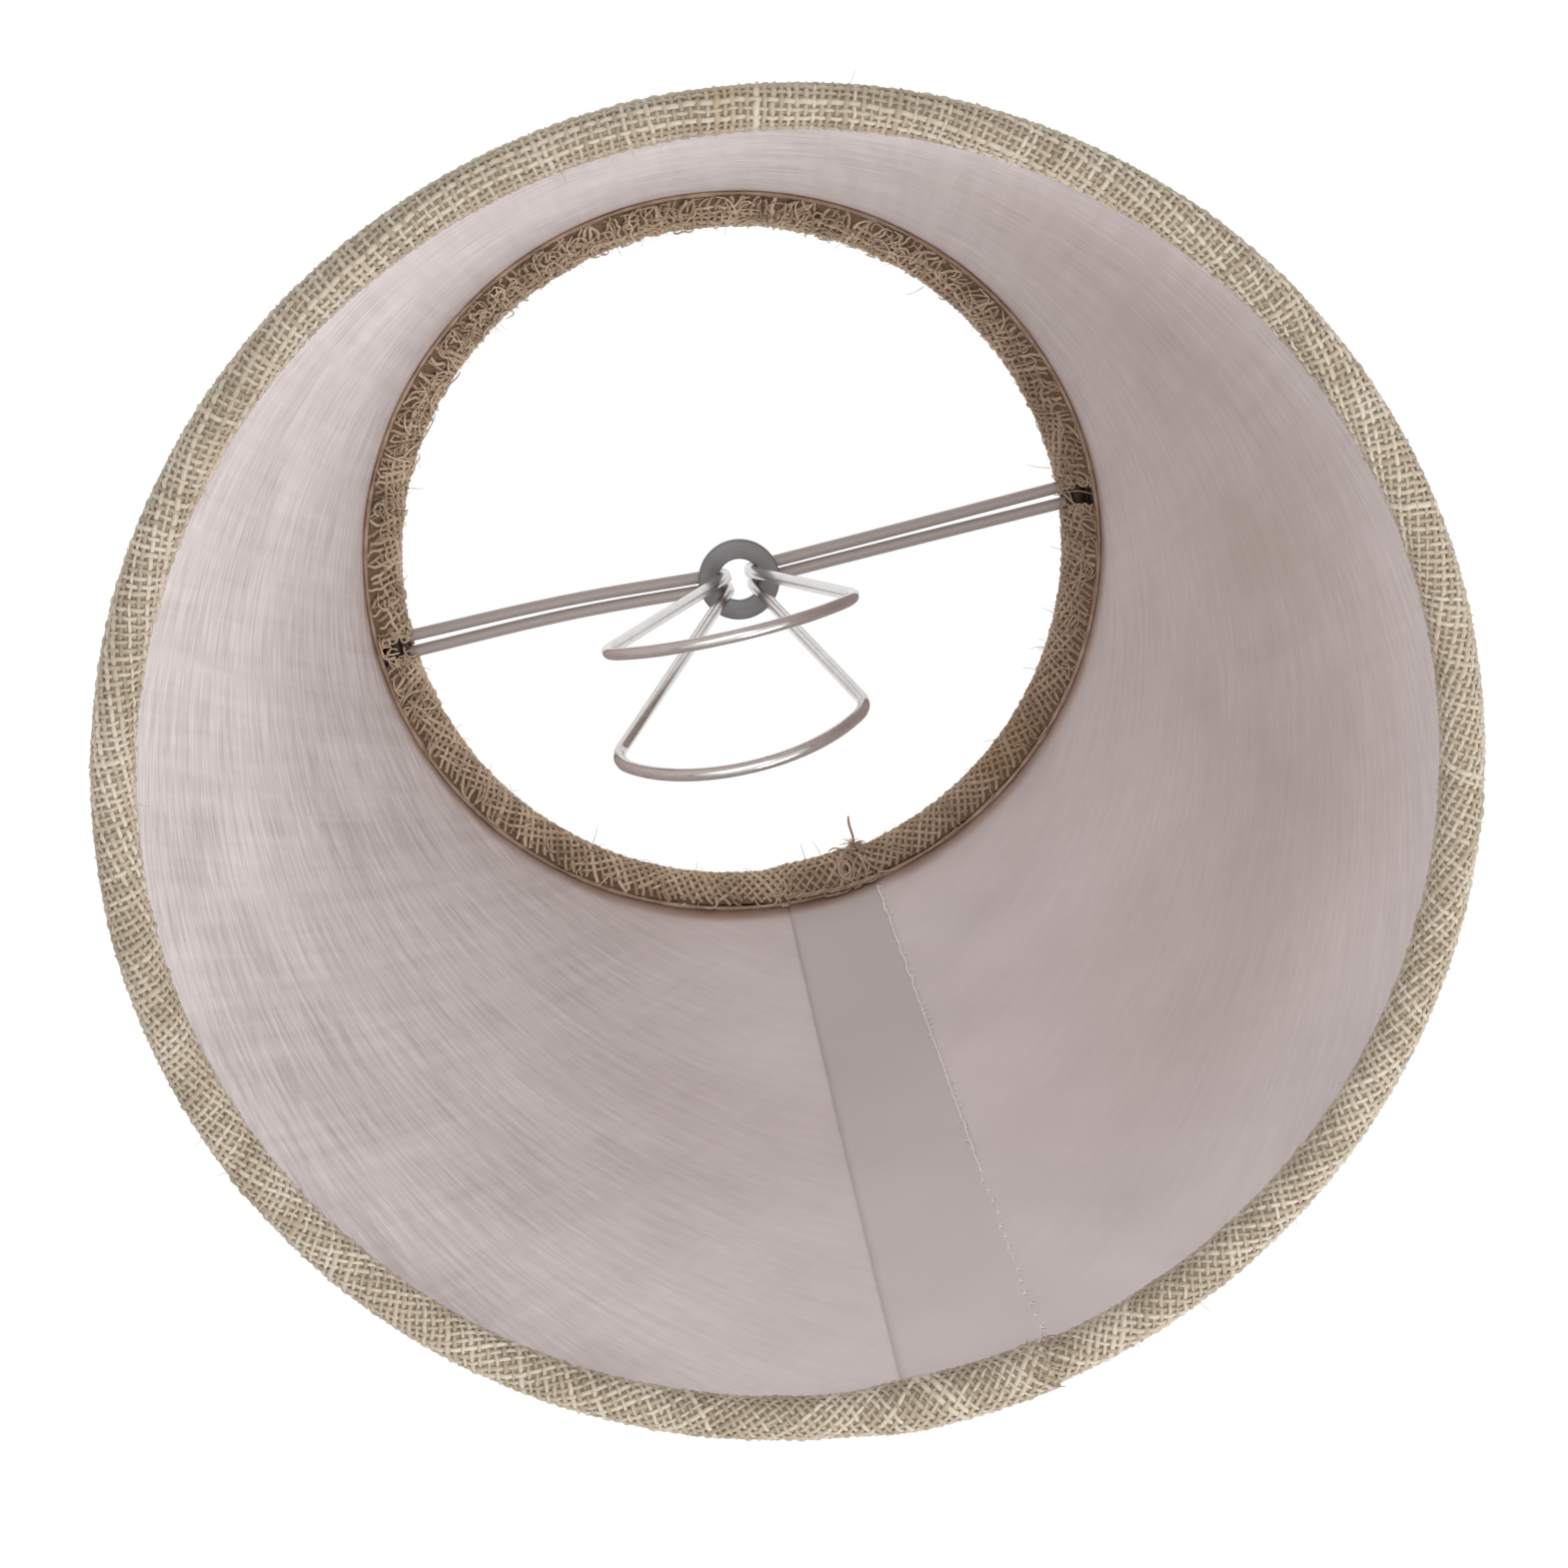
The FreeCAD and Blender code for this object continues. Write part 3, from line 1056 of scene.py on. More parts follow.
@dataclass
class HemYarns:
    """All the yarns on one rolled hem, with the frayed ends of its turned edge."""

    weave: Weave
    upper: bool
    ravel: float = 0.6 * MM
    neat_at_seam: float = 0.0
    stop: float = 0.0
    wall_reach: float = 0.6 * MM
    notches: tuple[Notch, ...] = ()
    tail_bend: float = 1.5 * MM

    def _band(self) -> tuple[float, float]:
        """Give the band of the flat piece that the hem covers, nearest and farthest.

        Returns:
            Distances from the point of the cone.
        """
        form = self.weave.form
        if self.upper:
            return form.apex - form.wall - form.turned, form.apex - form.wall + self.wall_reach
        return form.apex - self.wall_reach, form.apex + form.turned

    def _fray(self, run: float, angle: float) -> tuple[float, float]:
        """Give how far a place lies into the frayed edge, and how deep that edge is there.

        Args:
            run: the place's run.
            angle: its angle.

        Returns:
            The distance in, and the depth.
        """
        form = self.weave.form
        turned = run - form.wall if self.upper else -run
        depth = self.ravel * (1 - self.neat_at_seam * form.seam_share(angle))
        depth *= 1 + 0.45 * noise.noise(Vector((angle * 4, 5, 2)))
        edge = form.turned - self.stop - form.trim(run, angle)
        return turned - edge + depth, depth

    def _strand(self, family: Family, number: int, low: float, high: float) -> Iterator[Strand]:
        """Give one yarn, in pieces where a notch cuts it.

        Args:
            family: which way the yarn runs.
            number: the yarn's number.
            low: where it enters the band.
            high: where it leaves it.

        Returns:
            Its strands, one by one.
        """
        weave = self.weave
        form = weave.form
        radius = weave.thickness(family, number)
        tone = weave.tone(family, number)
        chance = random.Random(500 + 2 * number + family.value + (10000 if low < 0 else 0))
        bend = chance.gauss(0.35, 1.0) * self.tail_bend
        curl = chance.uniform(-1, 1)
        raise_end = abs(chance.gauss(0, 0.5)) * MM
        short = chance.uniform(-0.28, 0.2) if self.upper else chance.uniform(0, 0.4)
        ragged = chance.uniform(-0.15, 0.2)
        step = weave.pitch / weave.steps
        marks = [low] + [k * step for k in range(math.ceil(low / step), math.floor(high / step) + 1)] + [high]
        points: list[Vector] = []
        radii: list[float] = []
        for along in marks:
            run, angle, height = weave.point(family, number, along)
            beyond, depth = self._fray(run, angle)
            ends = depth * (1 - short) if family is Family.UP else depth * ragged
            if beyond > ends or any(notch.holds(form, run, angle) for notch in self.notches):
                if len(points) > 2:
                    yield Strand(points, radii, tone)
                points = []
                radii = []
                continue
            share = min(max(beyond, 0.0) / max(self.ravel, MM), 1.0)
            side = bend * share * share + curl * 0.4 * MM * math.sin(share * 5)
            angle += side / form.section(run).x
            height = height * (1 - 0.7 * share) + (raise_end - 0.25 * MM) * share
            points.append(form.place(run, angle, height))
            radii.append(radius(along) * (1.0 - 0.35 * share))
        if len(points) > 2:
            yield Strand(points, radii, tone)

    def build(self, family: Family, name: str) -> StrandMaker:
        """Make one family's yarns.

        Args:
            family: which way the yarns run.
            name: the piece's name.

        Returns:
            A maker that holds them.
        """
        maker = StrandMaker(name)
        nearest, farthest = self._band()
        for number, low, high in self.weave.spans(family, nearest, farthest):
            for strand in self._strand(family, number, low, high):
                maker.add(strand)
        return maker


@dataclass
class Fuzz:
    """Stray fibres that stand off a hem."""

    form: ShadeForm
    upper: bool
    count: int
    length: tuple[float, float] = (0.7 * MM, 2.2 * MM)
    radius: float = 0.05 * MM
    seed: int = 3

    def fill(self, maker: StrandMaker) -> None:
        """Add the fibres to a maker.

        Args:
            maker: takes the fibres.
        """
        chance = random.Random(self.seed)
        for _ in range(self.count):
            angle = self.form.lap_start + chance.uniform(0, TAU)
            turned = chance.uniform(0.1, 1.0) * self.form.turned
            if self.upper:
                turned = min(turned, self.form.turned - self.form.trim(self.form.wall, angle))
            run = self.form.wall + turned if self.upper else -turned
            root = self.form.place(run, angle, 0.3 * MM)
            out = (self.form.place(run, angle, 1.3 * MM) - root).normalized()
            side = any_way(chance).normalized()
            curl = any_way(chance).normalized()
            reach = chance.uniform(*self.length)
            lean = chance.uniform(0.6, 1.6)
            points = []
            for part in range(5):
                share = part / 4
                points.append(root + (out * share * 0.35 + side * share * lean * 0.6
                                      + curl * share * share * 0.7) * reach)
            maker.add(Strand(points, [self.radius * (1 - 0.13 * part) for part in range(5)], chance.random()))


@dataclass
class LooseEnds:
    """Plies that have worked loose from the two hems: most of them curled over the upper one."""

    form: ShadeForm
    notches: tuple[Notch, ...]
    count: int = 420
    height: float = 0.72 * MM
    radius: float = 0.17 * MM
    twist_angles: tuple[float, float] = (math.radians(93.5), math.radians(78.2))
    twist_inset: tuple[float, float] = (1.5 * MM, 0.2 * MM)
    tuft_angle: float = math.radians(80.6)
    tuft_root: tuple[float, float] = (64.6 * MM, 189.6 * MM)
    tuft_tip: tuple[float, float] = (58.2 * MM, 189.0 * MM)
    hair_root: tuple[float, float] = (65.2 * MM, 190.5 * MM)
    hair_aim: float = 190 * MM
    ply_radius: float = 0.26 * MM
    ply_spread: float = 0.27 * MM

    def _edge(self, angle: float) -> float:
        """Give how far the raw edge lies along the cloth from the top of the wall."""
        return self.form.turned - self.form.trim(self.form.wall, angle)

    def _lay(self, chance: random.Random, turned: float, angle: float, heading: float, reach: float,
             bend: float) -> Strand:
        """Lay one ply over the hem.

        Args:
            chance: its source of unevenness.
            turned: where it starts, along the cloth from the top of the wall.
            angle: where it starts, round the shade.
            heading: its first direction, 0 toward the raw edge and a right angle toward rising angles.
            reach: its length.
            bend: how far it turns over its length.

        Returns:
            The ply.
        """
        parts = 14
        height = self.height + chance.uniform(-0.1, 0.25) * MM
        lift = chance.uniform(0, 0.9) * MM
        points = []
        for part in range(parts + 1):
            share = part / parts
            rise = height + lift * math.sin(math.pi * share) * (0.5 + 0.5 * math.cos(7 * share))
            points.append(self.form.place(self.form.wall + turned, angle, rise))
            turned += math.cos(heading) * reach / parts
            angle += math.sin(heading) * reach / parts / self.form.high.x
            turned = min(max(turned, 8.6 * MM), self._edge(angle) + 0.7 * MM)
            heading += bend / parts
        thick = self.radius * chance.uniform(0.7, 1.35)
        radii = [thick * (1 - 0.5 * (part / parts) ** 3) for part in range(parts + 1)]
        return Strand(points, radii, chance.betavariate(2.6, 1.6))

    def scatter(self, maker: StrandMaker) -> None:
        """Strew plies over the hem, thickest opposite the seam.

        Args:
            maker: takes the plies.
        """
        chance = random.Random(41)
        while len(maker.strands) < self.count:
            angle = self.form.lap_start + chance.uniform(0, TAU)
            if chance.random() < 0.85 * self.form.seam_share(angle):
                continue
            turned = chance.uniform(10.5, 17.5) * MM
            heading = chance.gauss(0.2, 0.8)
            reach = chance.uniform(2.5, 7.5) * MM
            maker.add(self._lay(chance, turned, angle, heading, reach, chance.gauss(0, 2.2)))

    def ring_notches(self, maker: StrandMaker) -> None:
        """Curl short plies round the edge of each notch.

        Args:
            maker: takes the plies.
        """
        chance = random.Random(77)
        for notch in self.notches:
            for number in range(22):
                side = 1 if number % 2 else -1
                out = notch.tail_width + chance.uniform(0.1, 1.0) * MM
                turned = chance.uniform(12.0, 18.0) * MM
                angle = notch.angle + side * out / self.form.high.x
                heading = side * chance.uniform(-2.4, -0.6)
                bend = chance.choice((-1, 1)) * chance.uniform(2.5, 6.5)
                maker.add(self._lay(chance, turned, angle, heading, chance.uniform(2.2, 4.6) * MM, bend))

    def twist(self, maker: StrandMaker) -> None:
        """Lay the twisted yarn along the raw edge beside the seam, with ends that cross it.

        Args:
            maker: takes the plies.
        """
        form = self.form
        chance = random.Random(5)
        parts = 90
        for ply in range(3):
            points = []
            for part in range(parts + 1):
                share = part / parts
                angle = self.twist_angles[0] + (self.twist_angles[1] - self.twist_angles[0]) * share
                inset = self.twist_inset[0] + (self.twist_inset[1] - self.twist_inset[0]) * share
                turn = TAU * (share * 5.5 + ply / 3)
                wave = 0.5 * MM * noise.noise(Vector((share * 7, 2, 4)))
                turned = self._edge(angle) - inset + self.ply_spread * math.cos(turn) + wave
                height = 1.0 * MM + self.ply_spread * math.sin(turn)
                points.append(form.place(form.wall + turned, angle, height))
            maker.add(Strand(points, [self.ply_radius] * (parts + 1), 0.35 + 0.2 * ply))
        for number in range(7):
            middle = self.tuft_angle + math.radians(2.6)
            size = (0.7 + 0.14 * number) * MM
            start = chance.uniform(0, TAU)
            maker.add(self._lay(chance, self._edge(middle) - 3.2 * MM + size * math.sin(start),
                                middle - size * math.cos(start) / form.high.x, start, size * 5, 5.0))
        for _ in range(20):
            angle = chance.uniform(self.twist_angles[1], self.twist_angles[0])
            turned = self._edge(angle) - chance.uniform(0.2, 5.5) * MM
            heading = chance.choice((0.9, -0.9, 1.6)) + chance.gauss(0, 0.3)
            reach = chance.uniform(3, 7) * MM
            maker.add(self._lay(chance, turned, angle, heading, reach, chance.gauss(0, 0.8)))

    def tuft(self, maker: StrandMaker) -> None:
        """Add the small tuft beside the seam, the end that stands up from it, and single hairs.

        Args:
            maker: takes the plies.
        """
        chance = random.Random(9)
        root = polar(self.tuft_root[0], self.tuft_angle, self.tuft_root[1])
        tip = polar(self.tuft_tip[0], self.tuft_angle - math.radians(1.4), self.tuft_tip[1])
        for _ in range(30):
            heading = (tip - root).normalized()
            maker.add(curled(chance, root, heading, chance.uniform(1.4, 3.8) * MM, 0.14 * MM, 3.0))
        stalk = [root.lerp(tip, k / 6) + Vector((0.2 * MM * math.sin(k), 0, 0)) for k in range(7)]
        maker.add(Strand(stalk, [0.24 * MM] * 6 + [0.14 * MM], 0.1))
        for degrees, reach in ((128.2, 4), (-2.4, 5), (-42.3, 4), (89.5, 5), (86.6, 4), (30, 3), (205, 3.5)):
            angle = math.radians(degrees)
            root = polar(self.hair_root[0], angle, self.hair_root[1])
            inward = (Vector((0, 0, self.hair_aim)) - root).normalized()
            maker.add(curled(chance, root, inward, reach * MM, 0.07 * MM, 0.9))

    def lower_end(self, maker: StrandMaker) -> None:
        """Add the plies that stand from the cloth's end on the lower hem.

        Args:
            maker: takes the plies.
        """
        form = self.form
        chance = random.Random(15)
        for _ in range(26):
            angle = form.lap_start + math.radians(chance.gauss(0.6, 1.1))
            turned = chance.uniform(3, 17) * MM
            root = form.place(-turned, angle, 0.35 * MM)
            heading = form.place(-turned - chance.gauss(0, 1) * MM, angle - 0.02, 0.75 * MM) - root
            reach = chance.uniform(1.2, 2.8) * MM
            maker.add(curled(chance, root, heading.normalized(), reach, 0.15 * MM, 1.2))


def curled(chance: random.Random, root: Vector, heading: Vector, reach: float, radius: float,
           bend: float) -> Strand:
    """Make one fibre that keeps turning the same way.

    Args:
        chance: its source of unevenness.
        root: where it starts.
        heading: the direction that it leaves in, more or less.
        reach: its length.
        radius: its thickness at the root.
        bend: how far it turns over its length, at most.

    Returns:
        The fibre.
    """
    parts = 9
    side = any_way(chance)
    heading = (heading + side * 0.12 * bend).normalized()
    axis = heading.cross(side).normalized()
    turn = Matrix.Rotation(chance.uniform(0.4, 1.0) * bend / parts, 3, axis)
    points = [root.copy()]
    for _ in range(parts):
        heading = turn @ heading
        points.append(points[-1] + heading * (reach / parts))
    return Strand(points, [radius * (1 - 0.07 * part) for part in range(parts + 1)], chance.random())


# ================================================================ the shade's pieces
@dataclass
class Cover:
    """The cloth cover: the wall and both hems as one sheet, with real yarns on the hems."""

    form: ShadeForm
    weave: Weave
    notches: tuple[Notch, ...]
    steps: int = 620
    thickness: float = 0.35 * MM
    sink: float = 0.38 * MM
    past_edge: float = 0.35 * MM

    def _runs(self) -> list[float]:
        """Give the runs of the section's points, from one raw edge to the other.

        Returns:
            The runs, rising.
        """
        form = self.form
        curl = [form.curl * k / 16 for k in range(1, 17)]
        tongue = [form.curl + form.tongue * k / 8 for k in range(1, 9)]
        hem = curl + tongue
        wall = [form.wall * k / 10 for k in range(11)]
        return [-run for run in reversed(hem)] + wall + [form.wall + run for run in hem]

    def sheet(self) -> bpy.types.Mesh:
        """Spin the sheet, step its lap out, cut the notches and give it its flat pattern.

        Returns:
            The sheet's mesh.
        """
        form = self.form
        runs = self._runs()
        made = spun([form.section(run) for run in runs], form.lap_start, form.turn, self.steps)
        count = len(runs)
        spots = []
        beyond = set()
        for k in range(len(made.verts)):
            run, angle = runs[k % count], form.lap_start + form.turn * (k // count) / self.steps
            edge = form.turned - form.trim(run, angle) + self.past_edge
            if max(-run, run - form.wall) > edge:
                beyond.add(k)
                run = -edge if run < 0 else form.wall + edge
            spots.append((run, angle))
        for vert, (run, angle) in zip(made.verts, spots):
            hem = run < -MM or run > form.wall + MM
            vert.co = form.place(run, angle, -self.sink if hem else self.sink * 0.6)
        lay_pattern(made, form, spots)
        cut = []
        for face in made.faces:
            middle = [sum(spots[vert.index][part] for vert in face.verts) / 4 for part in range(2)]
            trimmed = all(vert.index in beyond for vert in face.verts)
            if trimmed or any(notch.holds(form, *middle) for notch in self.notches):
                cut.append(face)
        bmesh.ops.delete(made, geom=cut, context="FACES")
        bmesh.ops.reverse_faces(made, faces=made.faces)
        return finished(made, "cover_cloth")

    def build(self) -> None:
        cloth = ClothFinish(self.weave.pitch).material(self.form)
        lower = YarnFinish("lower_yarn", (0.61, 0.54, 0.45), (0.44, 0.37, 0.28),
                           (0.29, 0.23, 0.16)).material()
        upper = YarnFinish("upper_yarn", (0.84, 0.70, 0.53), (0.58, 0.445, 0.315), (0.28, 0.195, 0.13),
                           painted_side_shade=0.5).material()
        sheet = dressed("cover_sheet", self.sheet(), cloth, "shade")
        thicken(sheet, self.thickness)
        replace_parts(sheet, "fabric_cover", "cover_lap")
        high_weave = Weave(self.form, yarn=0.41 * MM, jitter=0.55 * MM, neat_at_seam=0.7)
        low_hem = HemYarns(self.weave, upper=False, stop=1.2 * MM)
        high_hem = HemYarns(high_weave, upper=True, ravel=3.8 * MM, neat_at_seam=0.8, notches=self.notches)
        for hem, material, label in ((low_hem, lower, "lower"), (high_hem, upper, "upper")):
            for family in Family:
                name = label + "_hem_yarns_" + family.name.lower()
                maker = hem.build(family, name)
                dressed(name, maker.mesh(), material, "shade")
        for upper_hem, count, material, label in ((False, 260, lower, "lower"), (True, 620, upper, "upper")):
            maker = StrandMaker(label + "_hem_fuzz")
            Fuzz(self.form, upper_hem, count).fill(maker)
            dressed(label + "_hem_fuzz", maker.mesh(), material, "shade")
        maker = StrandMaker("loose_ends")
        ends = LooseEnds(self.form, self.notches)
        for part in (ends.scatter, ends.ring_notches, ends.twist, ends.tuft, ends.lower_end):
            part(maker)
        dressed("loose_ends", maker.mesh(), upper, "shade")
        width, length, area = self.form.cut()


@dataclass
class GlueAndShadeBead:
    """Thin uneven bead of adhesive under the upper hem's frayed edge, coloured the brown of the shadow there:
    partly real glue, partly painted shade.
    """

    form: ShadeForm
    radius: float = 0.48 * MM
    set_back: float = 0.2 * MM
    stand: float = 0.35 * MM
    count: int = 700

    def build(self) -> None:
        """Lay the bead round the shade."""
        form = self.form
        points = []
        radii = []
        for number in range(self.count + 1):
            angle = form.lap_start + TAU * number / self.count
            uneven = noise.noise(Vector((angle * 9, 2, 0)))
            lumps = noise.noise(Vector((angle * 60, 7, 0)))
            back = form.short(angle) + self.set_back
            points.append(form.inside(form.wall - form.hem_turn + back, angle, self.stand))
            radii.append(self.radius * (1 + 0.5 * uneven + 0.35 * lumps))
        maker = StrandMaker("upper_glue_bead", 6)
        maker.add(Strand(points, radii))
        # painted shade: the bead's brown is the shadow in the pocket under the hem's edge
        glue = GlueFinish("brown_glue", (0.34, 0.225, 0.15), (0.47, 0.34, 0.25)).material()
        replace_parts(dressed(maker.name, maker.mesh(), glue, "shade"), "top_glue_line")


@dataclass
class Liner:
    """The film liner, with its lap, and the thread that runs up beside the lap."""

    form: ShadeForm
    steps: int = 360
    lap_step: float = 0.4 * MM
    slant: float = math.radians(1.6)
    thickness: float = 0.3 * MM
    set_out: float = 0.2 * MM
    thread_radius: float = 0.30 * MM
    thread_height: float = 0.5 * MM
    thread_fade: float = 0.36

    def build(self) -> None:
        """Build the film and the thread."""
        form = self.form
        film = FilmFinish().material(form)
        piece = dressed("liner_film", self._film(), film, "shade")
        thicken(piece, self.thickness)
        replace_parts(piece, "shade_liner")
        maker = StrandMaker("lap_thread", 6)
        self._thread(maker)
        thread = PlainFinish("lap_thread", (0.93, 0.88, 0.85), (0.70, 0.62, 0.58), 0.7, 900).material()
        dressed("lap_thread", maker.mesh(), thread, "shade")

    def _film(self) -> bpy.types.Mesh:
        """Spin the film from ring to ring, its second end stepping in over the first.

        Returns:
            The film's mesh.
        """
        form = self.form
        runs = [form.wall * (k + 0.01) / 24.02 for k in range(25)]
        section = [form.low + form.outward * form.liner_face + form.along * run for run in runs]
        made = spun(section, form.lap_start, form.turn, self.steps)
        count = len(runs)
        spots = [(runs[k % count], form.lap_start + form.turn * (k // count) / self.steps)
                 for k in range(len(made.verts))]
        for vert, (run, angle) in zip(made.verts, spots):
            inward = self.lap_step * form.film_lap(angle)
            late = max(angle - form.lap_start - TAU, 0.0) / form.lap_angle
            angle += self.slant * late * run / form.wall
            wave = 0.10 * MM * noise.noise(vert.co * 60)
            vert.co = form.inside(run, angle, inward - self.set_out + wave)
        lay_pattern(made, form, spots)
        return finished(made, "liner_film")

    def _thread(self, maker: StrandMaker) -> None:
        """Add the pale thread that runs up the lap, with its short cross ends.

        Args:
            maker: takes the thread.
        """
        form = self.form
        chance = random.Random(21)
        top = form.wall - form.hem_turn
        fade = form.wall * self.thread_fade

        def spot(along: float, side: float, height: float) -> Vector:
            """Give a point beside the thread's line."""
            radius = form.inside(along, 0).x
            wave = 0.35 * MM * noise.noise(Vector((along * 260, 3, 0)))
            angle = form.lap_start - (side + wave) / radius
            return form.inside(along, angle, self.thread_height + height)

        count = 260
        points = [spot(fade + (top - fade) * k / count, 0, 0) for k in range(count + 1)]
        radii = [self.thread_radius * (0.9 + 0.5 * noise.noise(Vector((k * 0.37, 0, 5))))
                 for k in range(count + 1)]
        maker.add(Strand(points, radii, 0.7))
        along = fade + 2 * MM
        while along < top:
            reach = chance.uniform(0.5, 1.5) * MM
            rise = chance.uniform(-0.3, 0.5) * MM
            side = -1 if chance.random() < 0.22 else 1
            bits = [spot(along + rise * k / 2, side * reach * k / 2, 0.05 * MM) for k in range(3)]
            maker.add(Strand(bits, [0.15 * MM, 0.12 * MM, 0.05 * MM], chance.random()))
            along += chance.uniform(1.4, 3.4) * MM
        along = form.hem_turn + 2 * MM
        while along < fade:
            side = chance.gauss(0, 0.35) * MM
            for turn in (-1, 1):
                reach = chance.uniform(0.5, 1.1) * MM
                bits = [spot(along + 0.4 * k * MM * turn, side + reach * k / 2, 0) for k in range(3)]
                maker.add(Strand(bits, [0.22 * MM, 0.18 * MM, 0.06 * MM], chance.random()))
            link = [spot(along + part * MM, side + 0.25 * MM * math.sin(part * 2), -0.1 * MM)
                    for part in (-2, -1, 0, 1, 2)]
            maker.add(Strand(link, [0.05 * MM, 0.08 * MM, 0.12 * MM, 0.08 * MM, 0.05 * MM], 0.4))
            along += chance.uniform(3.6, 4.6) * MM


# ================================================================ the fitter
@dataclass
class ClipWire:
    """One long wire: in from the ring, down through the washer, round a loop and back."""

    body: str
    face: int
    splay: float
    lean: float
    form: ShadeForm
    wire: float = 1.2 * MM
    dip: float = 7.6 * MM
    gap_at_ring: float = 0.45 * MM
    gap_at_middle: float = 0.25 * MM
    left_bow: float = 0.9 * MM
    gap_at_washer: float = 0.15 * MM
    washer_play: float = 0.1 * MM
    bend: float = 2.2 * MM
    loop_height: float = 78.0 * MM
    loop_width: float = 46.6 * MM
    bottom_radius: float = 27.0 * MM
    corner_radius: float = 9.0 * MM
    spring_reach: float = 2.0 * MM

    def _foot(self) -> Vector:
        """Give the top of the right leg, where its loop turns.

        Returns:
            The point, on the joint's own axis.
        """
        y = self.wire + self.gap_at_washer
        reach = WASHER_HOLE / 2 - self.washer_play - self.wire
        pivot = next(joint for joint in frame["joints"] if joint["child"] == self.body)["pos_m"]
        return Vector((math.sqrt(reach ** 2 - y ** 2), pivot[1], pivot[2]))

    def _bar(self, side: int) -> list[Vector]:
        """Give the centre line of a crossbar, from the ring to the top of its leg.

        Args:
            side: 1 for the right, -1 for the left.

        Returns:
            Its points.
        """
        def spot(x: float, y: float, z: float) -> Vector:
            """Give a point on this bar's side and face."""
            return Vector((side * x, FITTER_OFFSET + self.face * y, z))

        ring = self.form.high
        foot = self._foot()
        start = spot(ring.x - 1.4 * MM, self.wire + self.gap_at_ring, ring.y)
        middle = spot(ring.x / 2, self.wire + self.gap_at_middle, ring.y - self.dip / 2)
        if side < 0:
            middle.y -= self.left_bow
        corner = spot(foot.x, self.wire + self.gap_at_washer, ring.y - self.dip)
        back = (middle - corner).normalized()
        turn = back.angle(-Z_AXIS)
        reach = self.bend / math.tan(turn / 2)
        bend_start = corner + back * reach
        bend_end = corner - Z_AXIS * reach
        centre = corner + (back - Z_AXIS).normalized() * self.bend / math.sin(turn / 2)
        lean = (bend_start - start).normalized() * ((middle - start).length / 3)
        bezier = geometry.interpolate_bezier
        outer = bezier(start, start.lerp(middle, 0.35), middle - lean, middle, 12)
        inner = bezier(middle, middle + lean, bend_start + back * lean.length, bend_start, 12)
        first = bend_start - centre
        last = bend_end - centre
        corner_arc = [centre + first.slerp(last, k / 10).normalized() * self.bend for k in range(1, 11)]
        return outer + inner[1:] + corner_arc

    def _loop(self) -> list[Vector]:
        """Give the loop's centre line, from the right leg's top to the left leg's.

        Returns:
            Its points.
        """
        tilt = math.radians(self.splay)
        foot = self._foot()
        pivot = Vector((0, foot.y, foot.z))
        down = Vector((0, self.face * math.sin(tilt), -math.cos(tilt)))
        hub = self.loop_height - self.bottom_radius
        reach = self.bottom_radius - self.corner_radius
        corner_across = self.loop_width / 2 - self.corner_radius
        corner_down = hub + math.sqrt(reach ** 2 - corner_across ** 2)

        def spot(across: float, drop: float) -> Vector:
            """Give a point in the loop's plane."""
            return pivot + Vector((across, 0, 0)) + down * drop

        def leg(side: int) -> list[Vector]:
            """Give one leg and its corner, from the top to the bottom curve."""
            top = Vector((side * foot.x, 0))
            centre = Vector((side * corner_across - self.lean, corner_down))
            gap = top - centre
            away = math.atan2(gap.y, gap.x) + side * math.acos(self.corner_radius / gap.length)
            join = math.atan2(corner_down - hub, side * corner_across)
            if side < 0:
                away += TAU
            corner = [away + (join - away) * k / 14 for k in range(15)]
            round_corner = [spot(centre.x + self.corner_radius * math.cos(a),
                                 centre.y + self.corner_radius * math.sin(a)) for a in corner]
            start = spot(top.x, 0)
            return [start.lerp(round_corner[0], k / 8) for k in range(8)] + round_corner

        join = math.atan2(corner_down - hub, corner_across)
        sweep = [join + (math.pi - 2 * join) * k / 24 for k in range(1, 24)]
        bottom = [spot(-self.lean + self.bottom_radius * math.cos(a), hub + self.bottom_radius * math.sin(a))
                  for a in sweep]
        return leg(1) + bottom + list(reversed(leg(-1)))

    def build(self, material: bpy.types.Material) -> None:
        """Build the wire.

        Args:
            material: the wire's finish.
        """
        path = self._bar(1) + self._loop() + list(reversed(self._bar(-1)))
        maker = StrandMaker(self.body + "_wire", 12)
        maker.add(Strand(path, [self.wire] * len(path)))
        piece = dressed(maker.name, maker.mesh(), material, None)
        label = self.body.split("_")[0]
        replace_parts(piece, "crossbar_left_" + label, "crossbar_right_" + label, "clip_loop_" + label)
        pivot = self._foot()
        above = (0, pivot.y, pivot.z + self.spring_reach)
        below = (0, pivot.y, pivot.z - self.spring_reach)
        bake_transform(piece)


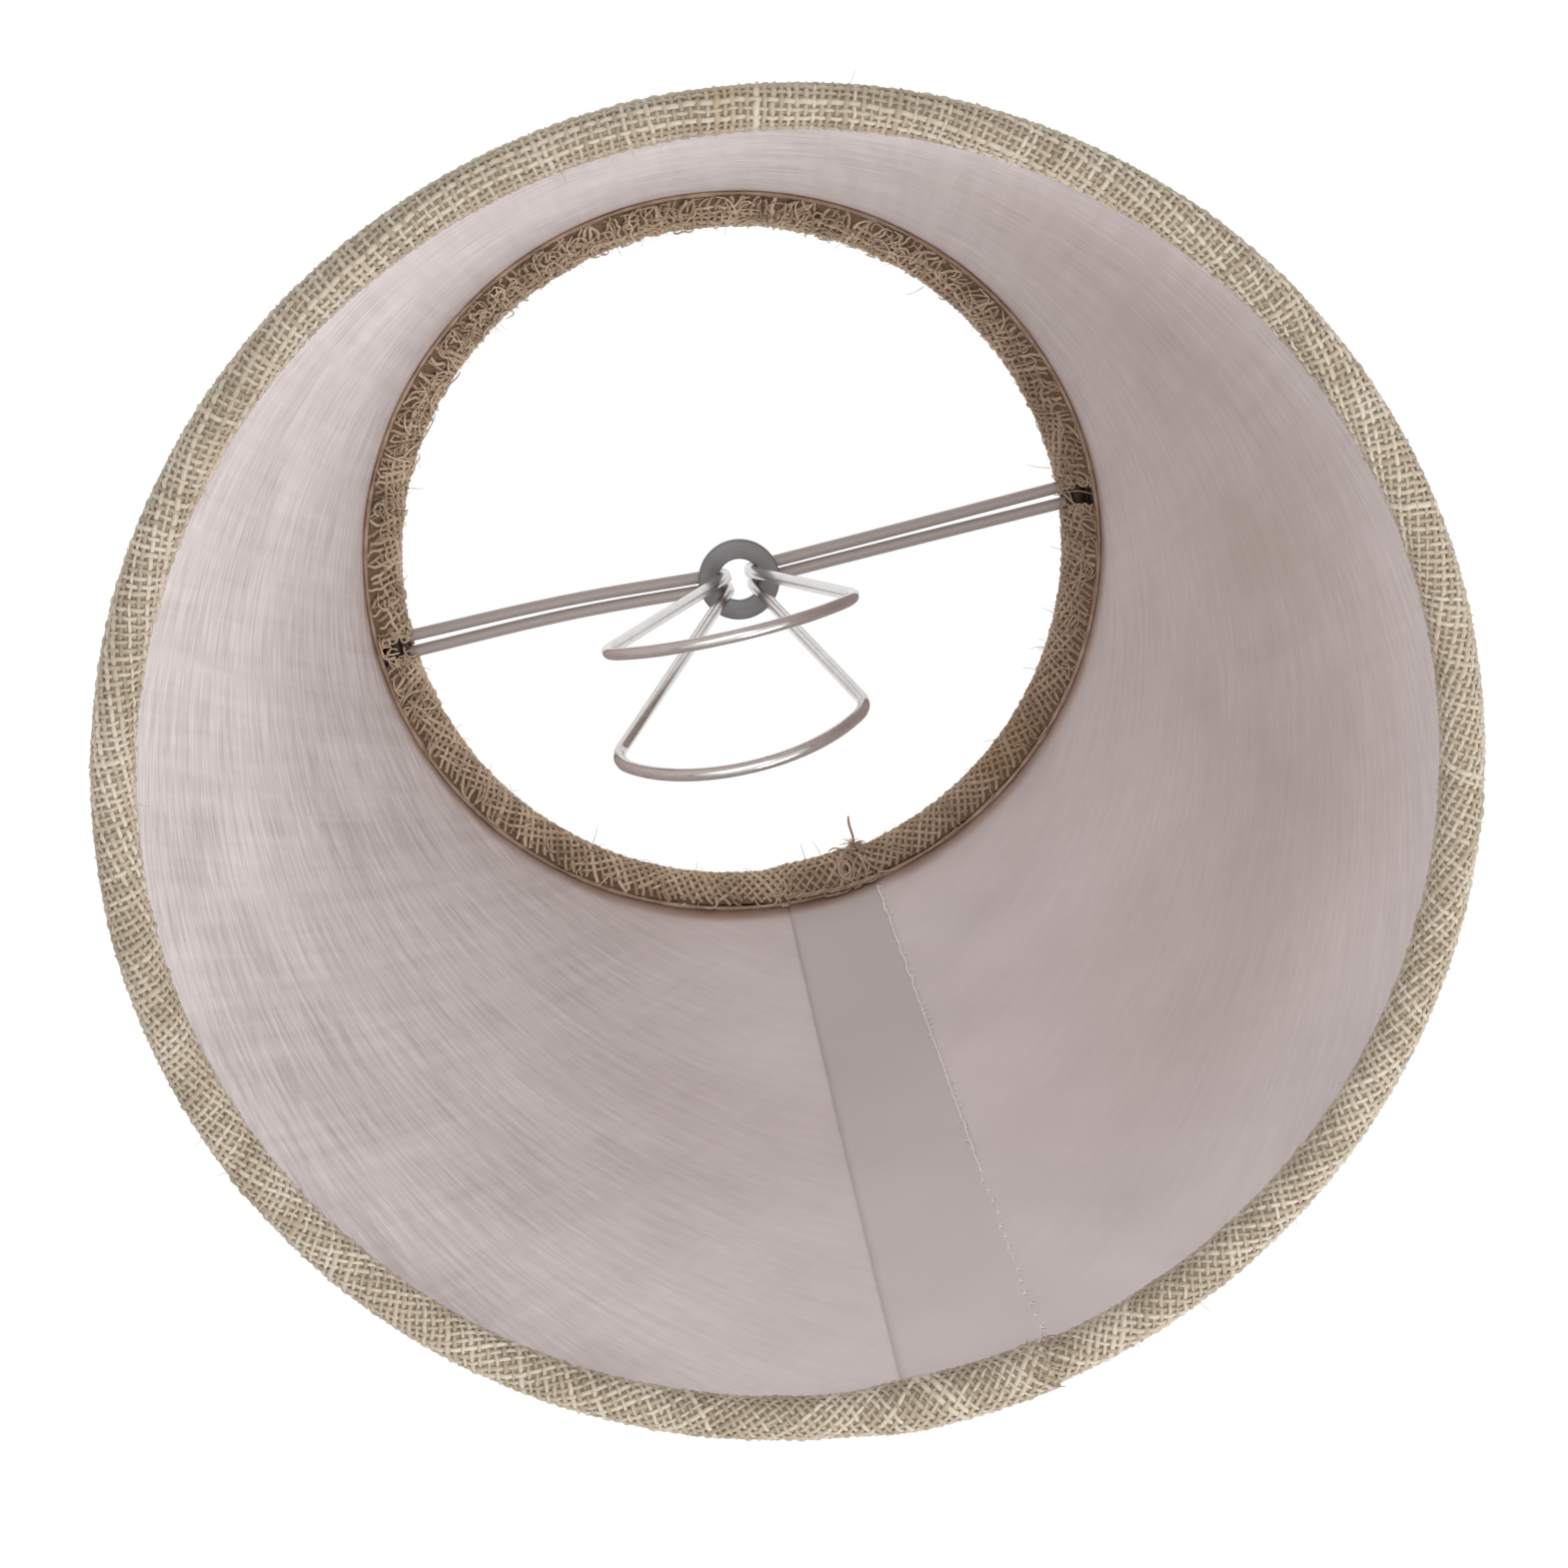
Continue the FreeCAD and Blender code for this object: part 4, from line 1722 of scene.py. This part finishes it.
@dataclass
class Washer:
    """Plain stamped washer with slightly rounded edges."""

    edge: float = 0.22 * MM

    def build(self, material: bpy.types.Material) -> None:
        """Spin the washer's section and round its edges.

        Args:
            material: the washer's finish.
        """
        low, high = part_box("fitter_washer")
        centre = (low + high) / 2
        outer = (high.x - low.x) / 2
        inner = WASHER_HOLE / 2
        corners = ((inner, low.z), (outer, low.z), (outer, high.z), (inner, high.z))
        made = bmesh.new()
        points = [made.verts.new((centre.x + r, centre.y, z)) for r, z in corners]
        edges = [made.edges.new((points[k], points[(k + 1) % 4])) for k in range(4)]
        bmesh.ops.spin(made, geom=points + edges, cent=centre, axis=Z_AXIS, dvec=(0, 0, 0), angle=TAU,
                       steps=72, use_merge=True, use_normal_flip=False, use_duplicate=False)
        bmesh.ops.recalc_face_normals(made, faces=made.faces)
        rims = [edge for edge in made.edges if edge.calc_face_angle(0) > 1]
        bmesh.ops.bevel(made, geom=rims, offset=self.edge, offset_type="OFFSET", segments=3, profile=0.5,
                        affect="EDGES", material=-1)
        piece = dressed("washer", finished(made, "washer"), material, "shade")
        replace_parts(piece, "fitter_washer")


@dataclass
class Fitter:
    """The two clip wires, the washer, and the rings and welds that hold them."""

    form: ShadeForm

    def build(self) -> None:
        """Build the wires and the washer, and finish the parts that stay as they are."""
        chrome = MetalFinish("bright_wire", (0.80, 0.785, 0.77), (0.55, 0.52, 0.50), 0.16, 700, 0.12,
                             dull_above=180.5 * MM).material()
        zinc = MetalFinish("washer_zinc", (0.36, 0.36, 0.36), (0.11, 0.11, 0.11), 0.34, marks=0.9,
                           turned=True).material()
        # painted shade: the rings and welds, seen only through the hems' notches, are coloured the dark brown of
        # the shade inside them
        shaded_steel = PlainFinish("ring_steel", (0.10, 0.062, 0.048), (0.055, 0.034, 0.026), 0.6, 500).material()
        Washer().build(zinc)
        for body, face, splay, lean in (("front_clip", -1, 4.3, 3.8), ("back_clip", 1, 12.2, 6.2)):
            ClipWire(body, face, splay, lean * MM, self.form).build(chrome)
        for name in ("bottom_ring", "top_ring", "crossbar_weld_left", "crossbar_weld_right"):
            repaint(name, shaded_steel)


def repaint(node: str, material: bpy.types.Material) -> None:
    """Give a CAD node a better finish."""
    for slot in frame["nodes"][node].material_slots:
        slot.material = material


# ================================================================ studio
@dataclass
class Studio:
    """Pale floor far below, white surroundings, soft lights and the camera below the shade."""

    lens: float = 126.2
    camera: tuple[float, float, float] = (-0.00717, -0.22599, -0.87641)
    forward: tuple[float, float, float] = (0.006256, 0.248843, 0.968524)
    up: tuple[float, float, float] = (0.223962, -0.944287, 0.241169)
    floor_drop: float = 1.6
    floor_size: float = 6.0
    aim: tuple[float, float, float] = (0.0, 0.0, 0.08)

    def build(self) -> None:
        """Build the whole studio."""
        self._floor()
        self._world()
        self._camera()
        self._light("key", (0.46, 0.64, -0.74), 0.6, 7.0, (1.0, 0.99, 0.985))
        self._light("fill", (-0.12, -0.35, -1.1), 1.0, 3.0, (1.0, 1.0, 1.0))
        bpy.context.scene.view_settings.view_transform = "Standard"

    def _floor(self) -> None:
        """Lay the floor."""
        made = bmesh.new()
        bmesh.ops.create_grid(made, x_segments=8, y_segments=8, size=self.floor_size)
        bmesh.ops.translate(made, verts=made.verts, vec=(0, 0, -self.floor_drop))
        mesh = finished(made, "floor")
        pale = PlainFinish("pale_floor", (0.86, 0.86, 0.86), (0.83, 0.83, 0.83), 0.9, 2).material()
        mesh.materials.append(pale)
        linked("floor", mesh)

    def _world(self) -> None:
        """Surround the shade with even white light."""
        world = bpy.data.worlds.new("studio")
        world.use_nodes = True
        world.node_tree.nodes["Background"].inputs["Color"].default_value = (1, 1, 1, 1)
        world.node_tree.nodes["Background"].inputs["Strength"].default_value = 1.0
        bpy.context.scene.world = world

    def _light(self, name: str, at: Sequence[float], size: float, power: float,
               tint: Sequence[float]) -> None:
        """Hang one soft square light that faces the shade.

        Args:
            name: the light's name.
            at: where it hangs.
            size: its side, in metres.
            power: its power, in watts.
            tint: its colour.
        """
        lamp = bpy.data.lights.new(name, "AREA")
        lamp.size = size
        lamp.energy = power
        lamp.color = tint
        holder = linked(name, lamp)
        holder.location = at
        aim = Vector(self.aim) - Vector(at)
        holder.rotation_euler = aim.to_track_quat("-Z", "Y").to_euler()

    def _camera(self) -> None:
        """Place the camera."""
        data = bpy.data.cameras.new("camera")
        data.lens = self.lens
        data.sensor_width = 36.0
        data.clip_start = 0.01
        data.clip_end = 20
        holder = linked("camera", data)
        forward = Vector(self.forward).normalized()
        up = Vector(self.up).normalized()
        right = forward.cross(up)
        holder.matrix_world = Matrix.Translation(Vector(self.camera)) @ Matrix(
            (right, up, -forward)).transposed().to_4x4()
        bpy.context.scene.camera = holder


def main() -> None:
    """Build the shade, piece by piece, and the studio round it."""
    logging.basicConfig(level=logging.INFO, format="%(name)s %(message)s")
    form = ShadeForm()
    notches = tuple(Notch(math.atan2(FITTER_OFFSET, side * form.high.x)) for side in (-1, 1))
    weave = Weave(form)
    Cover(form, weave, notches).build()
    Liner(form).build()
    GlueAndShadeBead(form).build()
    Fitter(form).build()
    repaint("bottom_glue_line", GlueFinish().material())
    repaint("seam_tape", PlainFinish("seam_tape", (0.80, 0.76, 0.66), (0.70, 0.66, 0.56), 0.5).material())
    Studio().build()


if __name__ == "__main__":
    main()
